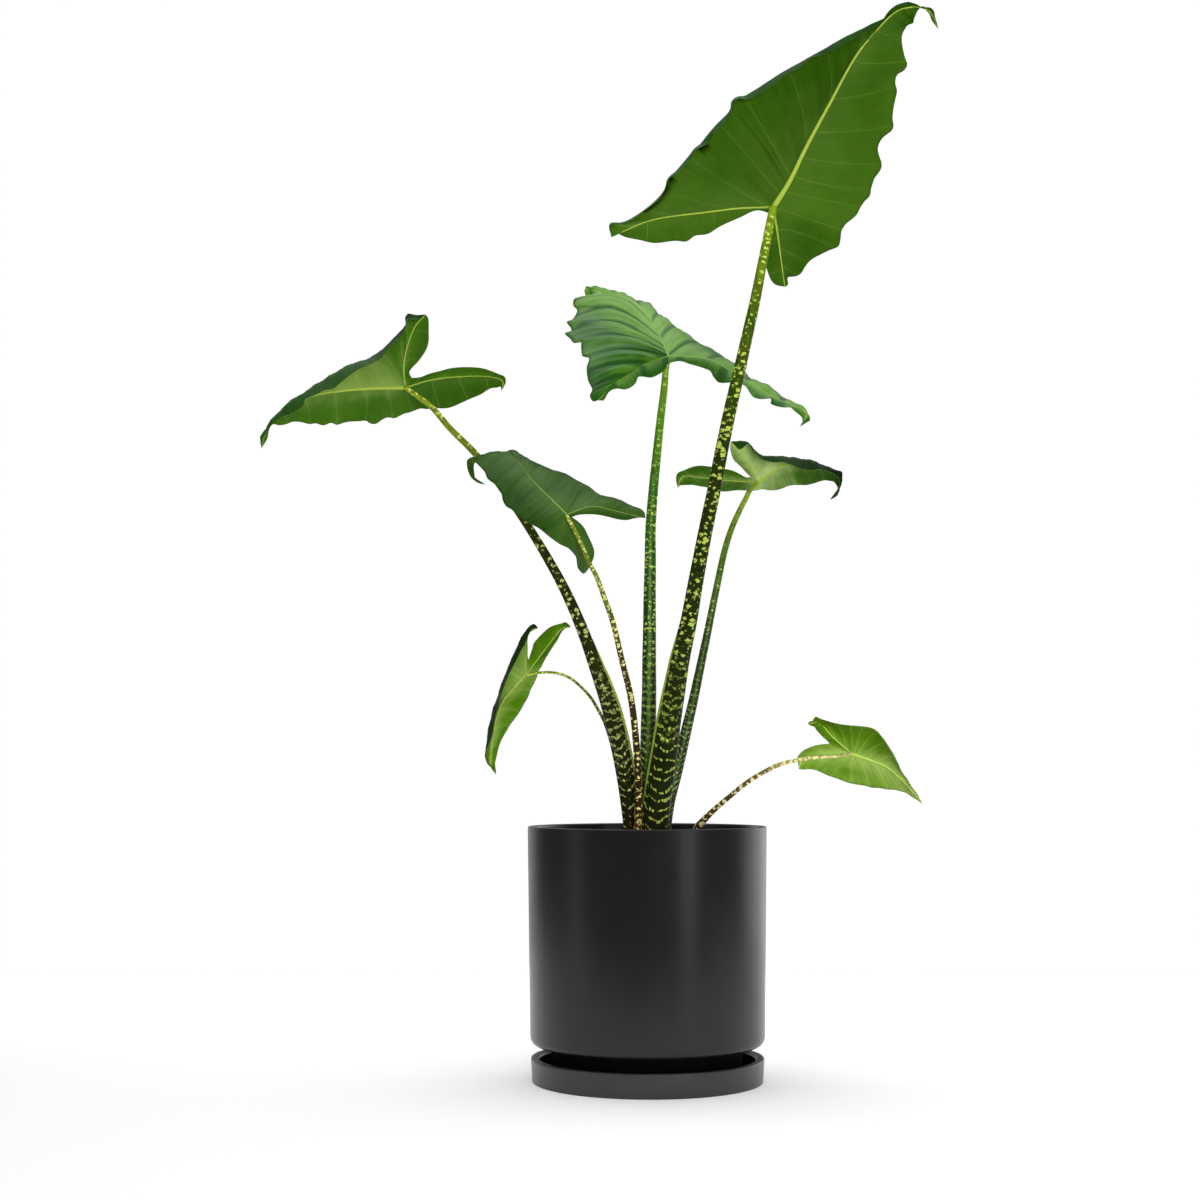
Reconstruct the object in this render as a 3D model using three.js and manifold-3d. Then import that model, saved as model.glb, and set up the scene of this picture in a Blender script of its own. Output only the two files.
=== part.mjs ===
// A potted zebrina alocasia: seven arrow-shaped leaves on mottled stalks, in a black pot on its saucer.
// Millimetres, +Z up. The origin is on the pot's axis, on the saucer's underside.
import * as THREE from "three";
import { mergeVertices } from "three/addons/utils/BufferGeometryUtils.js";
import Module from "manifold-3d";

const wasm = await Module();
wasm.setup();

// Driving sizes of the pot, the saucer and the soil
const SEAT_GAP = 0.3;
const TURN_SIDES = 48;
const CURVE_STEPS = 4;
const SAUCER = { footRadius: 97, rimRadius: 98.2, height: 19.9, wall: 7, floor: 7, round: 1.6 };
const POT = {
  baseRadius: 98.7,
  rimRadius: 101.5,
  height: 212.7,
  bodyBottom: 29.9,
  wall: 7.5,
  floor: 8,
  corner: 9,
  lip: 2,
  innerCorner: 6,
  footRadius: 80,
  footWall: 8,
  drainRadius: 8,
};
const SOIL = { level: 202.5, crown: 204.5, crownRadius: 60 };

// Driving sizes of the leaves and the stalks
const LEAF = {
  thickness: 0.8,
  rib: 1.6,
  ribTaper: 0.7,
  crowding: 1.5,
  belly: 0.08,
  bellyFade: 6,
  sinusBelly: 0.06,
  outwardRipple: 0.5,
};
const STALK_ROOT = 36;
const WING_SHARPNESS = 8;
const PLAIN_COLUMNS = [0, 0.3, 0.6, 0.85, 1];
const FOLDED_COLUMNS = [0, 0.3, 0.52, 0.66, 0.82, 1];
const SINUS_COLUMNS = [0, 0.5, 1];

// The leaves, as points chosen on each one. A vein starts on the spine at a share of its length
// (below 0 on the lobe's rib, above 0 on the midrib) and ends at a point of the edge. Where an edge
// rolls under, a fold point stands between the vein and its end. Left and right are seen from above.
const LEAVES = {
  tall_right: {
    rows: { lobe: 8, blade: 30 },
    ribScale: 1,
    joint: [109, -30, 742],
    notch: [106, -26, 738],
    midrib: [
      [122, -36, 762], [135, -44, 788], [155, -56, 824], [177, -70, 862], [202, -84, 886],
      [214, -93, 897], [230, -99, 890], [240, -104, 871],
    ],
    left: {
      waves: 8,
      waveDepth: 3,
      rib: [
        [114, -12, 725], [120, 16, 706], [125, 40, 690],
      ],
      sinus: [
        [104, -16, 730], [104, 4, 716], [108, 26, 702], [115, 36, 692],
      ],
      veins: [
        [-0.7, 136, 38, 699], [-0.5, 145, 32, 708], [-0.25, 167, 22, 722], [0, 175, 12, 733],
        [0.07, 189, 10, 755], [0.13, 201, 8, 768], [0.2, 207, 2, 791], [0.3, 217, -8, 821],
        [0.43, 219, -26, 851], [0.58, 222, -44, 867], [0.71, 218, -66, 881], [0.84, 222, -90, 889],
        [0.93, 231, -100, 884],
      ],
    },
    right: {
      waves: 8,
      waveDepth: 1.5,
      rib: [
        [81, -24, 743], [53, -16, 742], [4, 0, 739], [-30, 10, 727],
      ],
      sinus: [
        [95, -24, 740], [75, -12, 735], [54, 0, 727], [35, 6, 722], [4, 12, 722], [-26, 13, 730],
      ],
      veins: [
        [-0.85, -30, 12, 737], [-0.72, -19, 12, 741], [-0.5, 0, 10, 751], [-0.22, 16, 10, 770],
        [0, 39, 8, 799], [0.1, 66, 2, 826], [0.22, 86, -8, 843], [0.38, 123, -30, 860],
        [0.55, 153, -52, 870], [0.72, 184, -72, 880], [0.84, 208, -88, 893], [0.93, 228, -99, 894],
      ],
      folds: [
        [-31, 14, 739], [-20, 14, 743], [0, 13, 754], [15, 14, 772], [38, 14, 802], [63, 10, 831],
        [83, 0, 851], [122, -22, 869], [151, -46, 877], [183, -68, 885], [207, -87, 897],
        [228, -99, 895],
      ],
    },
  },
  far_left: {
    rows: { lobe: 7, blade: 22 },
    ribScale: 0.8,
    joint: [-210, 10, 593],
    notch: [-204, 8, 601],
    midrib: [
      [-235, -2, 590], [-261, -16, 585], [-286, -32, 577], [-306, -46, 563], [-318, -54, 549],
      [-323, -58, 528],
    ],
    left: {
      waves: 5,
      waveDepth: 1,
      rib: [
        [-205, -12, 611], [-199, -30, 629], [-193, -44, 644],
      ],
      sinus: [
        [-198, -6, 613], [-187, -24, 625], [-185, -38, 640], [-188, -44, 645],
      ],
      veins: [
        [-0.6, -199, -52, 637], [-0.3, -204, -52, 631], [-0.05, -217, -54, 612],
        [0.12, -231, -58, 599], [0.26, -241, -58, 595], [0.4, -255, -60, 585], [0.54, -268, -62, 576],
        [0.68, -285, -60, 569], [0.8, -304, -58, 555], [0.9, -319, -57, 543],
      ],
      folds: [
        [-203, -44, 646], [-208, -40, 639], [-219, -38, 627], [-234, -40, 613], [-246, -44, 607],
        [-262, -48, 597], [-278, -52, 584], [-295, -54, 569], [-313, -56, 553], [-322, -57, 544],
      ],
    },
    right: {
      waves: 7,
      waveDepth: 2,
      rib: [
        [-185, 20, 596], [-155, 34, 603], [-130, 45, 608], [-128, 50, 598],
      ],
      sinus: [
        [-188, 14, 607], [-163, 24, 614], [-142, 34, 615], [-129, 42, 613], [-123, 48, 607],
      ],
      veins: [
        [-0.75, -140, 56, 599], [-0.5, -159, 60, 592], [-0.25, -184, 58, 585], [0, -208, 54, 580],
        [0.12, -225, 46, 573], [0.25, -247, 36, 568], [0.42, -271, 16, 562], [0.6, -290, -8, 558],
        [0.76, -307, -32, 554], [0.88, -318, -50, 543],
      ],
    },
  },
  centre_back: {
    rows: { lobe: 7, blade: 20 },
    ribScale: 0.7,
    joint: [22, 70, 634],
    notch: [21, 66, 626],
    midrib: [
      [17, 92, 652], [10, 118, 673], [2, 142, 694], [-13, 160, 707], [-33, 178, 720], [-54, 190, 726],
    ],
    left: {
      waves: 5,
      waveDepth: 3,
      rib: [
        [0, 54, 623], [-24, 36, 605], [-42, 22, 584],
      ],
      sinus: [
        [7, 52, 610], [-6, 44, 607], [-17, 34, 596], [-29, 28, 594], [-35, 24, 585],
      ],
      veins: [
        [-0.6, -51, 26, 594], [-0.3, -51, 36, 611], [-0.05, -54, 54, 631], [0.12, -64, 78, 647],
        [0.28, -71, 104, 665], [0.45, -68, 130, 684], [0.62, -65, 156, 705], [0.8, -59, 178, 719],
      ],
    },
    right: {
      waves: 4,
      waveDepth: 3,
      rib: [
        [58, 66, 630], [90, 60, 610], [119, 54, 591], [144, 48, 577], [138, 47, 565],
      ],
      sinus: [
        [39, 64, 626], [58, 60, 620], [75, 54, 605], [89, 50, 602], [103, 48, 589], [129, 46, 581],
        [141, 46, 571],
      ],
      veins: [
        [-0.75, 125, 72, 596], [-0.5, 99, 94, 618], [-0.25, 79, 114, 637], [0, 58, 136, 658],
        [0.2, 39, 160, 676], [0.4, 20, 180, 693], [0.6, -1, 194, 709], [0.8, -28, 198, 722],
      ],
    },
  },
  mid_left: {
    rows: { lobe: 6, blade: 18 },
    ribScale: 0.6,
    joint: [-67, -90, 468],
    notch: [-63, -89, 466],
    midrib: [
      [-79, -80, 481], [-97, -62, 501], [-106, -46, 515], [-116, -32, 526], [-129, -24, 528],
      [-143, -24, 525], [-151, -28, 520], [-149, -32, 509], [-137, -34, 501],
    ],
    left: {
      waves: 3,
      waveDepth: 1.5,
      rib: [
        [-61, -84, 454], [-55, -74, 438], [-52, -64, 423],
      ],
      sinus: [
        [-55, -82, 460], [-47, -76, 447], [-45, -70, 436], [-47, -65, 427],
      ],
      veins: [
        [-0.75, -57, -74, 428], [-0.45, -60, -88, 437], [-0.2, -70, -96, 444], [0, -85, -98, 455],
        [0.12, -98, -98, 460], [0.25, -112, -90, 472], [0.38, -120, -80, 483], [0.5, -127, -68, 498],
        [0.62, -138, -54, 510], [0.75, -148, -38, 516], [0.88, -149, -34, 507],
      ],
    },
    right: {
      waves: 3,
      waveDepth: 1.5,
      rib: [
        [-47, -80, 476], [-23, -66, 473], [-2, -52, 470],
      ],
      sinus: [
        [-47, -84, 468], [-31, -72, 467], [-16, -60, 467],
      ],
      veins: [
        [-0.6, -10, -44, 480], [-0.3, -29, -34, 489], [0, -49, -24, 502], [0.18, -72, -16, 514],
        [0.34, -95, -8, 525], [0.48, -114, -2, 536], [0.62, -131, -8, 533], [0.76, -149, -24, 525],
        [0.88, -153, -32, 512],
      ],
    },
  },
  mid_right: {
    rows: { lobe: 6, blade: 16 },
    ribScale: 0.6,
    joint: [104, 90, 521.5],
    notch: [97.5, 89, 526],
    midrib: [
      [115, 80, 529.5], [127.5, 70, 535], [143, 62, 533.5], [158.5, 56, 529], [172, 52, 523],
      [172.5, 50, 512], [164.5, 50, 499.5],
    ],
    left: {
      waves: 4,
      waveDepth: 1.5,
      rib: [
        [79, 102, 524.5], [56, 114, 529], [36, 122, 531], [32.5, 126, 521.5],
      ],
      sinus: [
        [79.5, 94, 532.5], [59, 104, 538.5], [41.5, 114, 536.5], [31.5, 120, 531.5],
      ],
      veins: [
        [-0.7, 50.5, 132, 523], [-0.35, 72, 138, 521], [0, 102, 138, 519.5], [0.15, 123, 128, 520],
        [0.3, 141.5, 112, 521], [0.45, 153.5, 96, 519.5], [0.6, 163.5, 76, 520.5],
        [0.75, 170.5, 60, 516], [0.88, 168.5, 52, 505],
      ],
    },
    right: {
      waves: 3,
      waveDepth: 1,
      rib: [
        [95.5, 76, 533], [87.5, 62, 543], [82.5, 52, 551],
      ],
      sinus: [
        [88.5, 78, 532.5], [81.5, 66, 540], [76, 54, 548.5],
      ],
      veins: [
        [-0.6, 92, 50, 549], [-0.25, 102, 46, 537.5], [0.02, 114.5, 44, 532], [0.2, 126, 42, 531.5],
        [0.4, 138, 40, 526], [0.6, 157.5, 40, 524], [0.78, 171.5, 46, 520.5], [0.9, 172.5, 49, 509],
      ],
      folds: [
        [91, 52, 553], [103, 54, 543.5], [116.5, 54, 540.5], [130.5, 52, 539.5], [148.5, 48, 535],
        [163.5, 46, 529.5], [174.5, 48, 524.5], [175.5, 50, 512],
      ],
    },
  },
  low_left: {
    rows: { lobe: 5, blade: 14 },
    ribScale: 0.4,
    joint: [-105.5, 60, 344.5],
    notch: [-103, 56, 357.5],
    midrib: [
      [-116.5, 66, 333], [-126.5, 72, 321.5], [-132.5, 80, 307.5], [-136, 88, 290.5],
      [-138.5, 96, 274.5], [-138.5, 101, 263], [-134, 104, 256],
    ],
    left: {
      waves: 3,
      waveDepth: 1,
      rib: [
        [-106.5, 54, 361], [-106, 49, 374], [-101.5, 45, 383], [-94.5, 42, 385],
      ],
      sinus: [
        [-104, 54, 366], [-104, 50, 374.5], [-100, 46, 381.5],
      ],
      veins: [
        [-0.6, -102.5, 42, 379.5], [-0.25, -109.5, 44, 367.5], [0.08, -122, 54, 340.5],
        [0.28, -129, 66, 319.5], [0.5, -134, 78, 299.5], [0.7, -140, 92, 282],
        [0.88, -139.5, 101, 263],
      ],
      folds: [
        [-104.5, 46, 387], [-115.5, 54, 364.5], [-126.5, 64, 341], [-134, 76, 321], [-140, 87, 298],
        [-144, 96, 280], [-141.5, 101, 263],
      ],
    },
    right: {
      waves: 3,
      waveDepth: 1,
      rib: [
        [-94, 52, 359], [-82.5, 44, 373.5], [-72.5, 38, 384.5], [-65.5, 34, 385],
      ],
      sinus: [
        [-99.5, 52, 366], [-92, 46, 378], [-83, 40, 386.5], [-70.5, 36, 390.5],
      ],
      veins: [
        [-0.6, -72.5, 46, 380], [-0.35, -80, 52, 370.5], [-0.1, -85.5, 60, 360.5],
        [0.1, -93.5, 68, 346.5], [0.25, -101, 76, 330.5], [0.42, -112, 84, 313],
        [0.58, -120.5, 92, 299], [0.75, -129.5, 98, 282], [0.9, -133.5, 102, 266.5],
      ],
    },
  },
  low_right: {
    rows: { lobe: 5, blade: 12 },
    ribScale: 0.5,
    joint: [166, -70, 273.5],
    notch: [147.5, -74, 281.5],
    midrib: [
      [180.5, -72, 268.5], [194, -74, 262.5], [208, -78, 249.5], [221, -82, 233],
    ],
    left: {
      waves: 3,
      waveDepth: 1,
      rib: [
        [145.5, -66, 271], [126.5, -63, 269.5], [123.5, -61, 261],
      ],
      sinus: [
        [132.5, -72, 280], [125, -66, 276], [122, -63, 268.5],
      ],
      veins: [
        [-0.55, 136, -54, 261], [-0.2, 154, -46, 255.5], [0.05, 168, -42, 248.5],
        [0.25, 184.5, -42, 246], [0.45, 198.5, -48, 244.5], [0.65, 209, -60, 241.5],
        [0.85, 215.5, -74, 236.5],
      ],
    },
    right: {
      waves: 3,
      waveDepth: 1,
      rib: [
        [149.5, -80, 287], [136.5, -90, 299], [128, -93, 297],
      ],
      sinus: [
        [140.5, -80, 288], [132.5, -88, 295],
      ],
      veins: [
        [-0.65, 134, -97, 303.5], [-0.4, 150, -98, 298.5], [-0.1, 161, -101, 297],
        [0.1, 171, -102, 294.5], [0.28, 182, -102, 291.5], [0.45, 190.5, -100, 283.5],
        [0.6, 196.5, -96, 270.5], [0.75, 203.5, -90, 258.5], [0.9, 213, -85, 245.5],
      ],
    },
  },
};

// The stalks, from the soil up: place, radius and the width of the sheath's wing. A wing's side is an
// angle about the stalk, 0 to the right and counter-clockwise seen from above.
const STALKS = {
  tall_right: {
    sides: 12,
    steps: 18,
    wingSide: 3.14,
    route: [
      [6, -4, 203, 11.6], [6.5, -4, 211, 11.6], [8, -4, 226.5, 11.4, 0.8], [12.5, -6, 256, 11.0, 1.6],
      [17, -9, 285.5, 10.0, 2.2], [22.5, -14, 319.5, 8.8, 2.5], [28.5, -19, 353, 7.6, 2],
      [35.5, -24, 386.5, 6.8, 0.5], [44.5, -28, 437.5, 6.2], [56.5, -32, 496.5, 5.8],
      [68.5, -36, 556, 5.5], [78, -38, 597, 5.2], [92, -39, 658.5, 4.5], [101.5, -38, 706.5, 3.8],
      [108.5, -34, 741, 3.4],
    ],
  },
  far_left: {
    sides: 12,
    steps: 18,
    wingSide: 0,
    route: [
      [-13, 2, 202.5, 7.2], [-13, 2, 211, 7.2], [-14.5, 1.5, 226.5, 7.3, 1], [-18, 0.5, 252, 7.4, 2],
      [-25, -0.5, 286, 7.2, 3], [-31.5, -1, 311.5, 6.8, 3.2], [-40, 0, 337, 5.8, 3],
      [-52, 2, 371.5, 5.0, 0.5], [-66, 4, 406, 4.6], [-81.5, 7, 436, 4.1], [-107, 10, 478, 3.6],
      [-147, 12, 533, 2.9], [-171, 13, 557.5, 2.6], [-187.5, 13, 576.5, 2.4], [-200, 12, 586, 2.2],
      [-210, 8, 593, 1.9],
    ],
  },
  centre_back: {
    sides: 12,
    steps: 15,
    route: [
      [-3.5, 15, 202, 7.2], [-3, 15, 210.5, 7.2], [-1.5, 15, 234.5, 7.2], [1, 17.5, 269, 7.0],
      [2.5, 25, 321, 6.4], [3, 31, 356, 6.1], [3.5, 38, 391.5, 5.7], [4.5, 48, 445.5, 5.1],
      [5.5, 56, 482.5, 4.6], [12.5, 68, 556.5, 3.8], [18.5, 75, 608, 3.2], [20, 75, 624, 2.8],
      [22.5, 72, 633.5, 2.4],
    ],
  },
  mid_left: {
    sides: 8,
    steps: 15,
    route: [
      [-8, -14.5, 203, 3.4], [-8, -15, 211.5, 3.4], [-7.5, -18.5, 243.5, 3.2], [-9.5, -30, 281, 2.9],
      [-14, -48, 318, 2.7], [-22, -66, 350.5, 2.5], [-30, -83, 382, 2.4], [-36, -91, 398.5, 2.4],
      [-42.5, -97, 415.5, 2.4], [-49, -100, 428, 2.4], [-56, -100, 444.5, 2.3],
      [-62.5, -97, 457.5, 2.1], [-67, -91, 466.5, 1.9],
    ],
  },
  mid_right: {
    sides: 10,
    steps: 16,
    wingSide: 3.6,
    route: [
      [15.5, 12, 202, 5.0], [16, 12, 210.5, 5.0], [19.5, 14, 233, 5.0, 0.6], [25.5, 17, 256, 4.9, 0.8],
      [33, 24, 286, 4.6, 0.8], [41.5, 33, 321, 4.1, 0.4], [49.5, 43, 356.5, 3.7],
      [57.5, 53, 392.5, 3.3], [63.5, 60, 420, 3.1], [71, 68, 453, 2.9], [78, 75, 475.5, 2.7],
      [85.5, 80, 492.5, 2.5], [92.5, 84, 506, 2.3], [97, 86, 514.5, 2.2], [103, 88, 520.5, 2.0],
    ],
  },
  low_left: {
    sides: 6,
    steps: 14,
    route: [
      [-16, 13.5, 202, 2.0], [-16.5, 14, 210.5, 2.0], [-22.5, 22, 251.5, 1.8], [-29.5, 31, 282, 1.6],
      [-36.5, 39, 303, 1.4], [-42, 43, 313.5, 1.4], [-48, 46, 323.5, 1.3], [-56.5, 49, 333, 1.2],
      [-65.5, 52, 340.5, 1.2], [-75.5, 54, 345, 1.2], [-86, 56, 346.5, 1.2], [-95, 57, 346, 1.1],
      [-104.5, 58, 344, 1.1],
    ],
  },
  low_right: {
    sides: 8,
    steps: 14,
    route: [
      [40.5, -8, 203, 3.5], [42, -10, 210.5, 3.4], [46, -16, 216.5, 3.0], [54.5, -27, 226, 2.3],
      [68, -41, 238.5, 2.0], [80.5, -54, 249.5, 1.9], [93.5, -64, 258, 1.8], [106, -72, 264.5, 1.8],
      [122, -77, 268.5, 1.7], [144, -77, 271, 1.6], [154, -76, 271.5, 1.6], [165, -73, 273.5, 1.5],
    ],
  },
};

// Corners that fall within a merge distance, or in one cell of the grid, count as one.
const MERGE_DISTANCE = 1e-3;
const CELLS_PER_MM = 200;

// Small helpers
const vector = (values) => new THREE.Vector3(...values);

const smoothCurve = (points) => new THREE.CatmullRomCurve3(points, false, "centripetal");

const finish = (color, roughness) => new THREE.MeshStandardMaterial({ color, roughness, metalness: 0 });

function signedVolume(position, index) {
  const [a, b, c] = [new THREE.Vector3(), new THREE.Vector3(), new THREE.Vector3()];
  let volume = 0;
  for (let i = 0; i < index.length; i += 3) {
    a.fromBufferAttribute(position, index[i]);
    b.fromBufferAttribute(position, index[i + 1]);
    c.fromBufferAttribute(position, index[i + 2]);
    volume += a.dot(b.cross(c)) / 6;
  }
  return volume;
}

// Merges shared corners, drops triangles that fall to a line and turns the faces outward.
function closedBody(geometry) {
  geometry.deleteAttribute("normal");
  geometry.deleteAttribute("uv");
  const merged = mergeVertices(geometry, MERGE_DISTANCE);
  const corners = Array.from(merged.index.array);
  const index = [];
  for (let i = 0; i < corners.length; i += 3) {
    const [a, b, c] = corners.slice(i, i + 3);
    if (a !== b && b !== c && c !== a) {
      index.push(a, b, c);
    }
  }
  if (signedVolume(merged.attributes.position, index) < 0) {
    index.reverse();
  }
  merged.setIndex(index);
  return merged;
}

function meshOf(points, faces) {
  const geometry = new THREE.BufferGeometry();
  const coordinates = points.flatMap((p) => [p.x, p.y, p.z]);
  geometry.setAttribute("position", new THREE.Float32BufferAttribute(coordinates, 3));
  geometry.setIndex(faces.flat());
  return closedBody(geometry);
}

function toSolid(geometry) {
  const vertProperties = Float32Array.from(geometry.attributes.position.array);
  const triVerts = Uint32Array.from(geometry.index.array);
  return new wasm.Manifold(new wasm.Mesh({ numProp: 3, vertProperties, triVerts }));
}

function fromSolid(solid) {
  const { vertProperties, triVerts } = solid.getMesh();
  const geometry = new THREE.BufferGeometry();
  geometry.setAttribute("position", new THREE.Float32BufferAttribute(vertProperties, 3));
  geometry.setIndex(Array.from(triVerts));
  return closedBody(geometry);
}

const largestBody = (solid) => solid.decompose().reduce((a, b) => (a.volume() > b.volume() ? a : b));

// Pot, saucer and soil, each turned about the pot's axis
function turned(path) {
  const profile = path.getPoints(CURVE_STEPS);
  const geometry = new THREE.LatheGeometry(profile, TURN_SIDES);
  geometry.rotateX(Math.PI / 2);
  return closedBody(geometry);
}

function saucerProfile() {
  const { footRadius, rimRadius, height, wall, floor, round } = SAUCER;
  const inner = rimRadius - wall;
  const path = new THREE.Path();
  path.moveTo(0, 0);
  path.lineTo(footRadius - round, 0);
  path.quadraticCurveTo(footRadius, 0, footRadius, round);
  path.lineTo(rimRadius, height - round);
  path.quadraticCurveTo(rimRadius, height, rimRadius - round, height);
  path.lineTo(inner + round, height);
  path.quadraticCurveTo(inner, height, inner, height - round);
  path.lineTo(inner - round, floor + round);
  path.quadraticCurveTo(inner - round, floor, inner - 2 * round, floor);
  path.lineTo(0, floor);
  return path;
}

function potProfile() {
  const { baseRadius, rimRadius, height, bodyBottom, wall, floor, corner, lip, innerCorner } = POT;
  const { footRadius, footWall, drainRadius } = POT;
  const footBottom = SAUCER.floor + SEAT_GAP;
  const floorTop = bodyBottom + floor;
  const innerRim = rimRadius - wall;
  const innerBase = baseRadius - wall;
  const path = new THREE.Path();
  path.moveTo(drainRadius, floorTop);
  path.lineTo(drainRadius, bodyBottom);
  path.lineTo(footRadius - footWall, bodyBottom);
  path.lineTo(footRadius - footWall, footBottom);
  path.lineTo(footRadius, footBottom);
  path.lineTo(footRadius, bodyBottom);
  path.lineTo(baseRadius - corner, bodyBottom);
  path.quadraticCurveTo(baseRadius, bodyBottom, baseRadius, bodyBottom + corner);
  path.lineTo(rimRadius, height - lip);
  path.quadraticCurveTo(rimRadius, height, rimRadius - lip, height);
  path.lineTo(innerRim + lip, height);
  path.quadraticCurveTo(innerRim, height, innerRim, height - lip);
  path.lineTo(innerBase, floorTop + innerCorner);
  path.quadraticCurveTo(innerBase, floorTop, innerBase - innerCorner, floorTop);
  path.lineTo(drainRadius, floorTop);
  return path;
}

// The soil fills the pot with a seat gap all round and rises a little towards the stalks.
function soilProfile() {
  const { baseRadius, rimRadius, height, bodyBottom, wall, floor, lip, innerCorner } = POT;
  const bottom = bodyBottom + floor + SEAT_GAP;
  const lowSide = baseRadius - wall - SEAT_GAP;
  const flare = (rimRadius - baseRadius) / (height - lip - bottom);
  const highSide = lowSide + flare * (SOIL.level - bottom - innerCorner);
  const path = new THREE.Path();
  path.moveTo(0, bottom);
  path.lineTo(lowSide - innerCorner, bottom);
  path.quadraticCurveTo(lowSide, bottom, lowSide, bottom + innerCorner);
  path.lineTo(highSide, SOIL.level);
  path.quadraticCurveTo(SOIL.crownRadius, SOIL.crown, 0, SOIL.crown);
  return path;
}

// A stalk: rings along its route, with the sheath's wing on one side near the soil.
function stalkRing(centre, across, behind, radius, wing, sides) {
  const ring = [];
  for (let i = 0; i < sides; i += 1) {
    const angle = (2 * Math.PI * i) / sides;
    const side = Math.max(0, Math.cos(angle - wing.side));
    const reach = radius + wing.width * side ** WING_SHARPNESS;
    const point = centre.clone();
    point.addScaledVector(across, reach * Math.cos(angle));
    point.addScaledVector(behind, reach * Math.sin(angle));
    ring.push(point);
  }
  return ring;
}

function stalkSolid(stalk, grow) {
  const knots = stalk.route.map(([x, y, z]) => new THREE.Vector3(x, y, z));
  const root = knots[0].clone();
  root.z -= STALK_ROOT + grow;
  const curve = smoothCurve([root, ...knots]);
  const radii = [stalk.route[0][3], ...stalk.route.map((knot) => knot[3])];
  const wings = [0, ...stalk.route.map((knot) => knot[4] ?? 0)];
  const points = [];
  const faces = [];
  for (let i = 0; i <= stalk.steps; i += 1) {
    const t = i / stalk.steps;
    const along = t * (radii.length - 1);
    const low = Math.min(Math.floor(along), radii.length - 2);
    const radius = THREE.MathUtils.lerp(radii[low], radii[low + 1], along - low) + grow;
    const width = THREE.MathUtils.lerp(wings[low], wings[low + 1], along - low);
    const tangent = curve.getTangent(t);
    const across = new THREE.Vector3(0, 1, 0).cross(tangent).normalize();
    const behind = tangent.clone().cross(across);
    const wing = { side: stalk.wingSide ?? 0, width };
    points.push(...stalkRing(curve.getPoint(t), across, behind, radius, wing, stalk.sides));
  }
  for (let i = 0; i < stalk.steps; i += 1) {
    for (let j = 0; j < stalk.sides; j += 1) {
      const a = i * stalk.sides + j;
      const b = i * stalk.sides + ((j + 1) % stalk.sides);
      faces.push([a, b, b + stalk.sides], [a, b + stalk.sides, a + stalk.sides]);
    }
  }
  const last = stalk.steps * stalk.sides;
  for (let j = 1; j < stalk.sides - 1; j += 1) {
    faces.push([0, j + 1, j], [last, last + j, last + j + 1]);
  }
  return meshOf(points, faces);
}

// A leaf: rows run from its spine (a lobe's rib, then the midrib) out to the edge. A row's reach is
// -1 at the lobe's tip, 0 where the stalk joins and 1 at the leaf's tip.
const footOf = (reach) => Math.sign(reach) * Math.abs(reach) ** LEAF.crowding;
const reachOf = (foot) => Math.sign(foot) * Math.abs(foot) ** (1 / LEAF.crowding);

function rowReaches(rows) {
  const reaches = [];
  for (let i = 0; i < rows.lobe; i += 1) {
    reaches.push(i / rows.lobe - 1);
  }
  for (let i = 0; i <= rows.blade; i += 1) {
    reaches.push(i / rows.blade);
  }
  return reaches;
}

// Where a row meets the edge, counted along the edge from 0 at the lobe's tip to 1 at the leaf's tip
function edgePlace(half, reach) {
  const marks = [-1, ...half.veins.map((vein) => reachOf(vein[0])), 1];
  let i = 0;
  while (i < marks.length - 2 && reach > marks[i + 1]) {
    i += 1;
  }
  return (i + (reach - marks[i]) / (marks[i + 1] - marks[i])) / (marks.length - 1);
}

// Directions of the rows' upper side, from the ruled strip between the spine and the edge
function upperNormals(starts, ends, turn) {
  const middles = starts.map((start, i) => start.clone().add(ends[i]).multiplyScalar(0.5));
  return starts.map((start, i) => {
    const before = middles[Math.max(i - 1, 0)];
    const after = middles[Math.min(i + 1, middles.length - 1)];
    const run = after.clone().sub(before);
    return ends[i].clone().sub(start).cross(run).normalize().multiplyScalar(turn);
  });
}

const bellied = (start, end, normal, rise) =>
  start.clone().add(end).multiplyScalar(0.5).addScaledVector(normal, rise * start.distanceTo(end));

// A point on the parabola that starts at start, passes belly halfway and ends at end
function onParabola(start, belly, end, v) {
  const point = start.clone().multiplyScalar((1 - v) * (1 - 2 * v));
  point.addScaledVector(belly, 4 * v * (1 - v));
  return point.addScaledVector(end, v * (2 * v - 1));
}

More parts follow.
